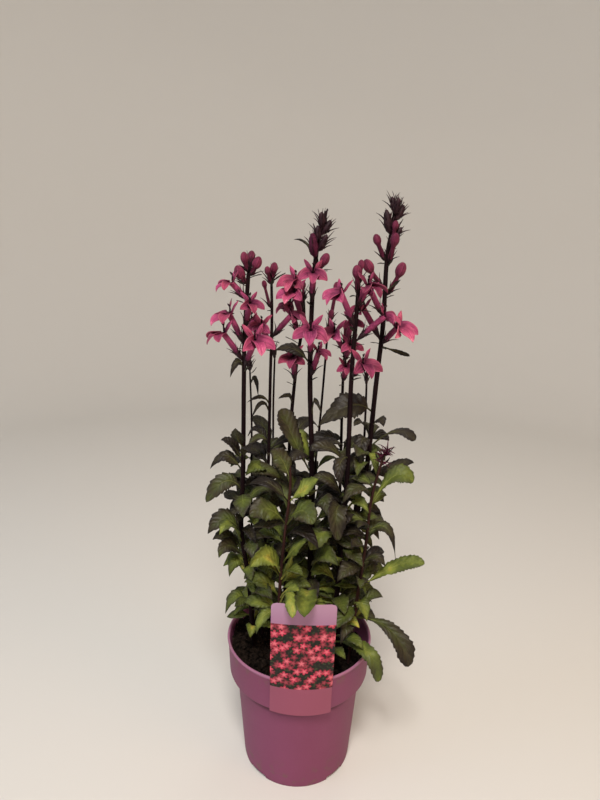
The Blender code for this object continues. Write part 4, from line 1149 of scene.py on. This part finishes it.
def unmarked(_):
    """No marks, at any ring."""
    return 0.0, 0.0, 0.0


def flower_rod(path, radii, sides, mark=unmarked):
    """A rod with its radii in millimetres and the marks of petals."""
    return rod(path, [radius * MM for radius in radii], sides, "petal_marks", mark)


def curved_rod(line, rings, sides, mark=unmarked):
    """A rod along a line of start, middle and end, with rings of (share of the way, radius)."""
    path = [bow(*line, t) for t, _ in rings]
    return flower_rod(path, [radius for _, radius in rings], sides, mark)


def teeth_of(line, at, radius, length, chance):
    """Thin pointed teeth around the cup's rim, which spread and bend outwards."""
    point, heading = bow(*line, at)
    turn = heading.to_track_quat("Z", "Y").to_matrix()
    for i in range(TEETH):
        out = turn @ level(math.tau * i / TEETH + chance.uniform(-TOOTH_SWAY, TOOTH_SWAY))
        lean = chance.uniform(*TOOTH_LEANS)
        reach = length * chance.uniform(*TOOTH_LENGTHS) * MM
        path = []
        for j in range(len(TOOTH_RADII)):
            t = j / (len(TOOTH_RADII) - 1)
            place = point + out * radius * MM + (heading * t + out * lean * t**1.6) * reach
            path.append((place, (heading + out * lean * 1.6 * t).normalized()))
        yield flower_rod(path, TOOTH_RADII, TOOTH_SIDES)


def lobe(line, flat, width, waist, cupped, tint_and_painted_light, phase):
    """One lobe of a flower: a thin petal that follows a line, creased along its middle and ruffled."""
    bm = bmesh.new()
    marks = bm.verts.layers.float_vector.new("petal_marks")
    bmesh.ops.create_grid(bm, x_segments=LOBE_GRID[0], y_segments=LOBE_GRID[1], size=1.0)
    for vert in bm.verts:
        across, t = vert.co.x, (vert.co.y + 1) / 2
        point, heading = bow(*line, t)
        side = (flat - heading * flat.dot(heading)).normalized()
        up = side.cross(heading)
        half = width / 2 * (waist + (1 - waist) * math.sin(math.pi * t / 1.15)) * (1 - t**2.6) ** 0.8
        half *= 1 + EDGE_WAVE * math.sin(9 * t + phase * across)
        ruffle = RUFFLE * across**2 * math.sin(8 * t + phase)
        crease = CREASE * math.exp(-CREASE_NARROW * across**2)
        vert.co = point + side * across * half + up * (cupped * across**2 + ruffle - crease) * half
        vert[marks] = (across, LOBE_SHADE_FROM + (1 - LOBE_SHADE_FROM) * t**0.6, tint_and_painted_light)
    bmesh.ops.remove_doubles(bm, verts=bm.verts, dist=2 * WELD)
    bmesh.ops.solidify(bm, geom=list(bm.faces), thickness=LOBE_THICK)
    return bm


def flower_frame(mouth, stem_point):
    """The directions forward, upward and sideways of a flower, which looks away from its stem."""
    forward = (level_between(stem_point, mouth) + upright(0.3)).normalized()
    side = forward.cross(upright(1.0)).normalized()
    return forward, side.cross(forward), side


def lobe_line(mouth, stem_point, size, row):
    """The direction, flat direction and tip of one lobe, as the frame has it."""
    forward, up, side = flower_frame(mouth, stem_point)
    angle, (ahead, high, wide), length, droop = row
    along = (forward * ahead + up * high + side * wide).normalized()
    around = side * math.cos(math.radians(angle)) - up * math.sin(math.radians(angle))
    flat = (around - along * around.dot(along)).normalized()
    reach = size * length * MM
    tip = mouth + along * (LOBE_ROOT * MM + reach) - upright(droop * reach)
    return along, flat, reach, tip


def add_bract(stem, height, towards, chance):
    """A thin dark bract that stands below a flower or bud."""
    length = chance.uniform(*BRACT_LENGTHS) * MM
    start = foot_on(stem, height * MM, towards, ROOTED * MM)
    swing = Matrix.Rotation(chance.uniform(-BRACT_SWING, BRACT_SWING), 3, "Z")
    rise = chance.uniform(*BRACT_RISES)
    out = swing @ level_between(start, towards)
    line = start, *sprig(start, out, length, (0.5, rise * 0.5), (0.9, rise - 0.1))
    width = chance.uniform(*BRACT_WIDTHS) * MM
    gather(foliage[stem], blade(line, width, 0, BRACT_SHADE, chance, SLIVER_GRID))


def add_lobe(bloom, number, mouth, axis, size, row, tint_and_painted_light, chance):
    """Adds one lobe to a flower. The upper lobes are narrow, and the lower ones are broad."""
    forward, up, _ = flower_frame(mouth, axis)
    along, flat, reach, tip = lobe_line(mouth, axis, size, row)
    upper = row[1][0] < 0
    bend = LOBE_BOWS[0] if upper else LOBE_BOWS[1]
    root = mouth + along * LOBE_STARTS[0] * MM - forward * LOBE_STARTS[1] * MM
    middle = mouth + along * (LOBE_ROOT * MM + reach * 0.5) + forward * reach * bend
    width, waist, cupped = UPPER_SHAPE if upper else LOWER_SHAPE
    tip = tip + flat * chance.uniform(-LOBE_SWAY, LOBE_SWAY) * reach
    if number in TRAY_LIPS and not upper:
        flat = up.cross(along).normalized()
    phase = chance.uniform(0, math.tau)
    flat = Matrix.Rotation(chance.uniform(-LOBE_ROLL, LOBE_ROLL), 3, along) @ flat
    light = tint_and_painted_light * chance.uniform(*LOBE_LIGHTS)
    gather(bloom, lobe((root, middle, tip), flat, size * width * MM, waist, cupped, light, phase))


def column_of(mouth, forward, up):
    """The dark column, which stands up from the mouth and bends forward over it."""
    path = []
    for (ahead, high), lean, _ in COLUMN:
        place = mouth + up * high * MM + forward * ahead * MM
        path.append((place, up.lerp(forward, lean).normalized()))
    return flower_rod(path, [radius for *_, radius in COLUMN], COLUMN_SIDES)


def make_flower(number, stem, height, mouth, size):
    """A flower as a piece, and its column, cup, teeth and bract with those of its stem."""
    axis = at_height(STEM_PATHS[stem], height * MM)
    node_name = f"flower_{number:02d}"
    variant = settled(node_name, Vector(mouth) * MM, Vector(mouth) * MM,
                      lambda _, place: lobe_line(place, axis, size, LOWEST_LOBE)[3])
    if variant is None:
        return
    chance = random.Random(node_name)
    place = variant[1]
    forward, up, _ = flower_frame(place, axis)
    start = foot_on(stem, height * MM, place, ROOTED * MM)
    line = start, (start + place) * 0.5 - forward * TUBE_SAG * size * MM, place
    # Each flower's tint varies at random, with painted light or painted shade from the lists on top.
    tint_and_painted_light = chance.uniform(*(PAINTED_LIT_RANGE if number in PAINTED_LIT_FLOWERS else USUAL))
    if number in SHADED_FLOWERS:
        tint_and_painted_light *= SHADED
    tube_shades = [TUBE_SHADES[0] + TUBE_SHADES[1] * t for t, _ in TUBE] + [THROAT_SHADE] * len(THROAT)
    bloom = curved_rod(line, [*TUBE, *THROAT], TUBE_SIDES, lambda i: (0.5, tube_shades[i], 1.0))
    for row in LOBES:
        add_lobe(bloom, number, place, axis, size, row, tint_and_painted_light, chance)
    piece_from(f"{node_name}_bloom", bloom, "petals", [petal_finish], [node_name])
    gather(cups[stem], column_of(place, forward, up))
    gather(cups[stem], curved_rod(line, CUP, CUP_SIDES))
    for tooth in teeth_of(line, *CUP_TEETH, chance):
        gather(cups[stem], tooth)
    add_bract(stem, height - BRACT_BELOW[0], place, chance)


for number, row in enumerate(FLOWERS, 1):
    make_flower(number, *row)

# The buds. Closed flowers: clubs with a round head on a plum tube. Towards the top of the spikes
# they are short, dark and still wrapped in their teeth.

BUDS = [  # stem, height on it, middle of the head, width
    ("a", 507, (-55, -14, 522), 6), ("a", 512, (-49, -8, 523), 6), ("a", 504, (-43, -12, 518), 7),
    ("a", 497, (-60, -14, 510), 8), ("c", 500, (-30, 6, 513), 6), ("c", 496, (-36, 2, 510), 5),
    ("c", 474, (-39, 4, 498), 4), ("e", 423, (-13, 8, 438), 4), ("e", 482, (-4, 16, 497), 4),
    ("f", 520, (3, -10, 538), 7), ("f", 508, (15, -10, 522), 7), ("g", 450, (23, 30, 470), 5),
    ("g", 456, (27, 28, 496), 5), ("h", 440, (36, 20, 462), 5), ("i", 491, (41, -18, 513), 7),
    ("i", 499, (45, -12, 518), 5), ("k", 518, (58, 0, 539), 6), ("k", 497, (51, 0, 517), 8),
    ("k", 488, (82, 0, 515), 8), ("k", 536, (79, 4, 546), 4), ("k", 516, (74, -4, 540), 7),
    ("k", 541, (66, 2, 559), 6), ("k", 529, (74, 0, 551), 5), ("d", 423, (-31, 32, 436), 3),
    ("j", 398, (60, 38, 411), 3), ("b", 412, (-54, 26, 422), 4), ("f", 545, (10, -10, 556), 5),
    ("f", 540, (17, -6, 550), 5), ("f", 532, (7, -8, 545), 5), ("f", 526, (14, -11, 538), 5),
    ("k", 558, (75, 0, 569), 5), ("k", 560, (71, 8, 571), 4), ("k", 553, (80, 6, 564), 5),
]
SPIKY_TOPS = [  # stem, lowest spike, how many, length
    ("f", 530, 3, 11), ("k", 545, 3, 12), ("l", 337, 6, 10), ("b", 409, 2, 8),
]
SPIKE_WIDTH = 2.6
SPIKE_SHADE = 0.08
TUFT = ("l", 338, 46)  # stem, lowest spike, how many
TUFT_RISES = (-0.3, 1.4)
TUFT_LENGTHS = (7, 11)
TUFT_RINGS = ((0.0, 0.6), (0.3, 0.55), (0.65, 0.35), (1.0, 0.08))
TUFT_BEND = 1.5
TUFT_MARKS = (0.5, 0.16, 0.8)
BUD_SAG = 0.12
BUD_POINT = 0.4
YOUNG_FROM = {  # the height on a stem above which its buds are young
    "f": 519, "k": 530, "b": 0, "d": 0, "j": 0,
}
PLUM_BUDS = (("f", 520),)
YOUNG_GAIN = 1.08
YOUNG_RINGS = (  # (share of the way, share of the bud's half width)
    (0.35, 1.0), (0.65, 1.15), (0.9, 0.85), (1.0, 0.3),
)
YOUNG_TEETH = ((0.45, 1.0), (0.75, 0.9))
YOUNG_MARKS = (0.5, 0.1, 0.8)
YOUNG_SIDES = 9
BUD_CUP = ((0.0, 0.7), (0.12, 1.0), (0.2, 1.9), (0.3, 2.3), (0.36, 2.2))
BUD_TEETH = (0.28, 1.9)
BUD_TOOTH = 9.0
BUD_GAIN = 1.18
BUD_SIDES = 14
BALL_ANGLES = (  # radians from the tip, where the round head has its rings
    2.4, 2.1, 1.8, 1.57, 1.2, 0.9, 0.6, 0.3, 0.05,
)
STALK_RADII = (2.3, 0.62)  # at most, and as a share of the head's
PLUM_FROM = 510
PLUM = 0.26
PINK = 0.42
HEAD_LIGHTER = 0.1
bud_tubes = shapes_by_stem("petal_marks")


def bud_line(start, head, diameter):
    """A bud's start, middle and tip. It sags a little below the straight line."""
    middle = (start + head) * 0.5 - upright((head - start).length * BUD_SAG)
    return start, middle, head + (head - middle).normalized() * diameter * BUD_POINT * MM


def add_young_bud(stem, body, line, thick, chance):
    """A short dark bud, wrapped in two rings of teeth."""
    rings = [(0.0, 0.7), (0.15, 1.3), *((at, thick * share) for at, share in YOUNG_RINGS)]
    gather(body, curved_rod(line, rings, YOUNG_SIDES, lambda i: YOUNG_MARKS))
    for at, share in YOUNG_TEETH:
        for tooth in teeth_of(line, at, thick * share, BUD_TOOTH, chance):
            gather(cups[stem], tooth)


def add_grown_bud(stem, line, thick, plum, chance):
    """A round head on a tube that rises from its cup."""
    gather(cups[stem], curved_rod(line, BUD_CUP, CUP_SIDES))
    stalk = min(STALK_RADII[0], thick * STALK_RADII[1])
    length = (line[2] - line[0]).length / MM
    ball = [(1 - thick * (1 - math.cos(a)) / length, thick * math.sin(a)) for a in BALL_ANGLES]
    neck = ball[0][0]
    rings = [(0.28, stalk * 0.8), (0.36, stalk), (max(0.4, neck - 0.05), stalk * 0.85), *ball]
    shades = [plum if at < neck - 0.02 else plum + HEAD_LIGHTER for at, _ in rings]
    gather(bud_tubes[stem], curved_rod(line, rings, BUD_SIDES, lambda i: (0.5, shades[i], 0.75)))
    for tooth in teeth_of(line, *BUD_TEETH, BUD_TOOTH, chance):
        gather(cups[stem], tooth)


def make_bud(stem, height, head, diameter):
    """A bud, young or grown, with its teeth, and a bract below it if it is grown."""
    def line_to(place):
        return bud_line(foot_on(stem, height * MM, place, ROOTED * MM), place, diameter)

    head = Vector(head) * MM
    variant = settled("stem_" + stem, head, head, lambda _, place: line_to(place)[2])
    if variant is None:
        return
    chance = random.Random(f"bud {stem} {height}")
    line = line_to(variant[1])
    if height > YOUNG_FROM.get(stem, math.inf):
        body = bud_tubes[stem] if (stem, height) in PLUM_BUDS else cups[stem]
        add_young_bud(stem, body, line, diameter / 2 * YOUNG_GAIN, chance)
    else:
        plum = PLUM if height > PLUM_FROM else PINK
        add_grown_bud(stem, line, diameter / 2 * BUD_GAIN, plum, chance)
        add_bract(stem, height - BRACT_BELOW[1], line[2], chance)


def add_spiky_top(stem, lowest, count, length):
    """A few narrow bracts in a spiral around the tip of a stem."""
    top = STEM_PATHS[stem][-1].z / MM
    for i in range(count):
        height = lowest + (top - lowest) * i / count
        foot = at_height(STEM_PATHS[stem], height * MM) / MM
        middle, tip = sprig(foot, level(GOLDEN_ANGLE * i), length, (0.45, 0.3), (0.75, 0.8))
        variant = settled("stem_" + stem, middle * MM, tip * MM, lambda mid, end: end)
        if variant:
            line = foot_on(stem, height * MM, variant[1], ROOTED * MM), *variant
            shape = blade(line, SPIKE_WIDTH * MM, 0, SPIKE_SHADE, random.Random(i), SLIVER_GRID)
            gather(foliage[stem], shape)


def add_tuft(stem, lowest, spikes):
    """The reddish tuft: thin spikes that stand out on all sides around the top of a stem."""
    chance = random.Random("tuft")
    top = STEM_PATHS[stem][-1]
    for i in range(spikes):
        axis = at_height(STEM_PATHS[stem], lowest * MM).lerp(top, chance.random())
        rise = chance.uniform(*TUFT_RISES)
        out = level(GOLDEN_ANGLE * i) * math.cos(rise) + upright(math.sin(rise))
        end = axis + out * chance.uniform(*TUFT_LENGTHS) * MM
        line = axis, (axis + end) * 0.5 + upright(TUFT_BEND * MM), end
        gather(bud_tubes[stem], curved_rod(line, TUFT_RINGS, TOOTH_SIDES, lambda i: TUFT_MARKS))


for row in BUDS:
    make_bud(*row)
for row in SPIKY_TOPS:
    add_spiky_top(*row)
add_tuft(*TUFT)
for stem in STEMS:
    for shapes, kind, slot, materials in ((foliage, "leaves", "leaf_blades", leaf_finish),
                                          (cups, "cups", "stem_skin", [cup_finish]),
                                          (bud_tubes, "buds", "petals", [petal_finish])):
        if shapes[stem].verts:
            piece_from(f"stem_{stem}_{kind}", shapes[stem], slot, materials)

# The label. A thin printed card that leans out above the pot, held by a tongue that hooks over the
# lip behind it. Its print is a plain mauve head and foot, and a dark picture field of pink blossoms.

LABEL_WIDTH = 58.0
LABEL_BOTTOM = 103.5
LABEL_TOP = 229.0
LABEL_THICK = 0.8
LABEL_CORNER = 5.0
LABEL_LEAN = 0.075
LABEL_TURN = math.radians(0.5)
LABEL_MIDDLE = 2.0
LABEL_AROUND = 75.0
LABEL_GRID = (24, 60)
LABEL_CREASE = math.radians(40)
FLATTENS_FROM = 125.0
FLATTENS_OVER = 60.0
FLATTEST = 0.35  # share of the collar's curve that the top keeps
TONGUE_HALF = 9.0
TONGUE_THICK = 0.6
TONGUE_LINE = ((-74.9, 148.5), (-74.8, 146.2), (-74.2, 145.9), (-72.4, 146.0), (-70.6, 145.7), (-69.8, 145.1),
               (-69.4, 144.2), (-68.4, 131.4))
HEAD_FROM = 0.83
FOOT_TO = 0.25
CARD_CENTIMETRES = (5.8, 12.5, 1.0)  # the card's size, in which its print is laid out
CARD_MAUVE = (0.33, 0.165, 0.27)
CARD_PALE = (0.40, 0.23, 0.34)
CARD_ROSE = (0.27, 0.072, 0.12)
FIELD_DARK = (0.011, 0.011, 0.009)
FIELD_GREEN = (0.040, 0.052, 0.022)
BLOSSOM_LAYERS = (  # cell size in centimetres, offset, colour and colour at the middle
    (0.75, (3.3, 1.7, 0.0), ((0.22, 0.020, 0.04), (0.34, 0.05, 0.07))),
    (0.9, (0.0, 0.0, 0.0), ((0.58, 0.040, 0.09), (0.68, 0.16, 0.20))),
)
PETALS = 5


def label_point(across, height):
    """The place of a point of the card, which curves with the pot's collar and flattens higher up."""
    lean = LABEL_LEAN * (height - POT_TOP)
    wrap = LABEL_AROUND - math.sqrt(LABEL_AROUND**2 - across**2)
    curl = max(FLATTEST, 1.0 - max(height - FLATTENS_FROM, 0.0) / FLATTENS_OVER)
    x = across * math.cos(LABEL_TURN) + math.tan(LABEL_TURN) * (height - LABEL_BOTTOM) + LABEL_MIDDLE
    y = -LABEL_AROUND - LABEL_THICK - lean + wrap * curl
    return Vector((x, y, height - across * math.tan(LABEL_TURN))) * MM


def blossoms(tree, flat, ground, size, offset, colour, middle):
    """A layer of round five-petalled blossoms of many tints, printed on the ground given."""
    moved = signal(tree, "Mapping", {"Vector": flat, "Location": offset})
    warp = signal(tree, "TexNoise", {"Vector": moved, "Scale": 4.0, "Detail": 3.0}, output="Color")
    bent = signal(tree, "Mix", {0: 0.1, 4: moved, 5: warp}, output=1, data_type="VECTOR")
    cells = node(tree, "TexVoronoi", {"Vector": bent, "Scale": 1 / size}, voronoi_dimensions="2D").outputs
    away = signal(tree, "VectorMath", {0: bent, 1: Signal(cells["Position"])}, operation="SUBTRACT")
    x, y, _ = parts_of(away)
    tint = parts_of(Signal(cells["Color"]))[0]
    angle = maths("ARCTAN2", y, x) * (PETALS / 2) + tint * 6.0
    scallop = abs(maths("COSINE", angle)) * 0.26 + 0.22
    share = Signal(cells["Distance"]) / (scallop * (tint * 0.5 + 0.75))
    shaded = colour_mix(tree, tint * 0.7, colour, FIELD_DARK)
    petals = colour_mix(tree, smooth_step(share, 0.8, 0.1), shaded, middle)
    return colour_mix(tree, smooth_step(share, 1.0, 0.88), ground, petals)


def printed_card():
    """Satin printed card. The marks hold the place on the card, from 0 to 1 across and up."""
    material, tree, sockets = new_material("printed_card", roughness=0.4, specular=0.2)
    marks = signal(tree, "Attribute", output="Vector", attribute_name="print_marks")
    up = parts_of(marks)[1]
    flat = signal(tree, "Mapping", {"Vector": marks, "Scale": CARD_CENTIMETRES})
    green = smooth_step(speckle(flat, 3.5, 4.0), 0.52, 0.66)
    field = colour_mix(tree, green, FIELD_DARK, FIELD_GREEN)
    for size, offset, colours in BLOSSOM_LAYERS:
        field = blossoms(tree, flat, field, size, offset, *colours)
    head = colour_mix(tree, smooth_step(up, 0.8, 1.0), CARD_MAUVE, CARD_PALE)
    colour = colour_mix(tree, maths("GREATER_THAN", up, HEAD_FROM), field, head)
    feed(sockets["Base Color"], colour_mix(tree, maths("LESS_THAN", up, FOOT_TO), colour, CARD_ROSE))
    return material


def card_sheet():
    """The card itself, with rounded upper corners and its print on the front."""
    bm = bmesh.new()
    marks = bm.verts.layers.float_vector.new("print_marks")
    bmesh.ops.create_grid(bm, x_segments=LABEL_GRID[0], y_segments=LABEL_GRID[1], size=1.0)
    bmesh.ops.reverse_faces(bm, faces=bm.faces)
    for vert in bm.verts:
        share = ((vert.co.y + 1) / 2) ** 0.6
        height = LABEL_BOTTOM + (LABEL_TOP - LABEL_BOTTOM) * share
        into = max(0.0, LABEL_CORNER - (LABEL_TOP - height))
        half = LABEL_WIDTH / 2 - (LABEL_CORNER - math.sqrt(max(LABEL_CORNER**2 - into**2, 0.0)))
        across = vert.co.x * half
        vert.co = label_point(across, height)
        vert[marks] = (across / LABEL_WIDTH + 0.5, share, 0.0)
    second_material(bmesh.ops.solidify(bm, geom=list(bm.faces), thickness=LABEL_THICK * MM)["geom"])
    return bm


def tongue_strip():
    """The plain strip that runs from the card's back over the lip and down inside the pot."""
    bm = bmesh.new()
    bm.verts.layers.float_vector.new("print_marks")
    line = [bm.verts.new(Vector((-TONGUE_HALF, y, z)) * MM) for y, z in TONGUE_LINE]
    edges = [bm.edges.new(pair) for pair in zip(line, line[1:])]
    widened = bmesh.ops.extrude_edge_only(bm, edges=edges)["geom"]
    bmesh.ops.translate(bm, vec=(2 * TONGUE_HALF * MM, 0, 0),
                        verts=[item for item in widened if isinstance(item, bmesh.types.BMVert)])
    bmesh.ops.solidify(bm, geom=list(bm.faces), thickness=TONGUE_THICK * MM)
    bmesh.ops.recalc_face_normals(bm, faces=bm.faces)
    second_material(bm.faces)
    return bm


label = card_sheet()
gather(label, tongue_strip())
plain_card = cloudy_finish("plain_card", (0.45, 0.5), (CARD_ROSE, CARD_MAUVE), 20.0, 0.6, 0.0)
card = piece_from("label_card", label, "label_card", [printed_card(), plain_card], ["plant_label"])
card.data.set_sharp_from_angle(angle=LABEL_CREASE)

# The stage: a plain pale floor that sweeps up into a round wall, soft light from above in front, weaker
# light from the left (cool), the right (warm) and behind, and the camera where the photograph was taken.

PALE = (0.655, 0.640, 0.60)
SKY = (0.86, 0.82, 0.78)
SKY_STRENGTH = 0.36
FLOOR_RADIUS = 1300.0
FLOOR_STEPS = 96
SWEEP = 600.0
WALL_TOP = 1900.0
LIGHTS = (  # name, place, size, power, colour
    ("key", (-0.05, -0.95, 1.6), 0.5, 29.0, (1.0, 0.95, 0.90)),
    ("window", (-1.5, -0.5, 0.8), 0.9, 4.8, (0.42, 0.62, 1.0)),
    ("lamp", (1.2, -0.8, 0.9), 0.9, 4.2, (1.0, 0.42, 0.08)),
    ("back", (0.4, 1.1, 1.6), 0.6, 2.0, (1.0, 0.93, 0.86)),
)
LIT_PLACE = Vector((0.0, 0.0, 0.28))
CAMERA_PLACE = Vector((-0.0047, -0.538, 0.54))
LOOKS_DOWN = 15.46  # degrees
ROLL = 1.3  # degrees
LENS = 27.045
SENSOR = 36.0

angles = [math.radians(a) for a in range(0, 91, 6)]
sweep = [(FLOOR_RADIUS + SWEEP * math.sin(a), SWEEP * (1 - math.cos(a))) for a in angles]
floor_profile = [(0.0, 0.0), *sweep, (FLOOR_RADIUS + SWEEP, WALL_TOP)]
floor_mesh = mesh_from("floor", turned(floor_profile, FLOOR_STEPS))
floor_mesh.shade_smooth()
floor = in_scene("floor", floor_mesh)
floor_material, _, floor_sockets = new_material("pale_floor", roughness=0.8, specular=0.2)
floor_sockets["Base Color"].default_value = (*PALE, 1.0)
floor_mesh.materials.append(floor_material)

world = bpy.data.worlds.new("soft_light")
world.use_nodes = True
background = world.node_tree.nodes["Background"].inputs
background["Color"].default_value = (*SKY, 1.0)
background["Strength"].default_value = SKY_STRENGTH
bpy.context.scene.world = world
bpy.context.scene.view_settings.view_transform = "Standard"
for name, place, size, power, colour in LIGHTS:
    lamp = bpy.data.lights.new(name, "AREA")
    lamp.shape = "DISK"
    lamp.size = size
    lamp.energy = power
    lamp.color = colour
    holder = in_scene(name, lamp)
    holder.location = place
    holder.rotation_euler = (LIT_PLACE - Vector(place)).to_track_quat("-Z", "Y").to_euler()

camera = bpy.data.cameras.new("camera")
camera.lens = LENS
camera.sensor_width = SENSOR
camera_holder = in_scene("camera", camera)
tilt = Matrix.Rotation(math.radians(90 - LOOKS_DOWN), 4, "X") @ Matrix.Rotation(math.radians(ROLL), 4, "Z")
camera_holder.matrix_world = Matrix.Translation(CAMERA_PLACE) @ tilt
bpy.context.scene.camera = camera_holder
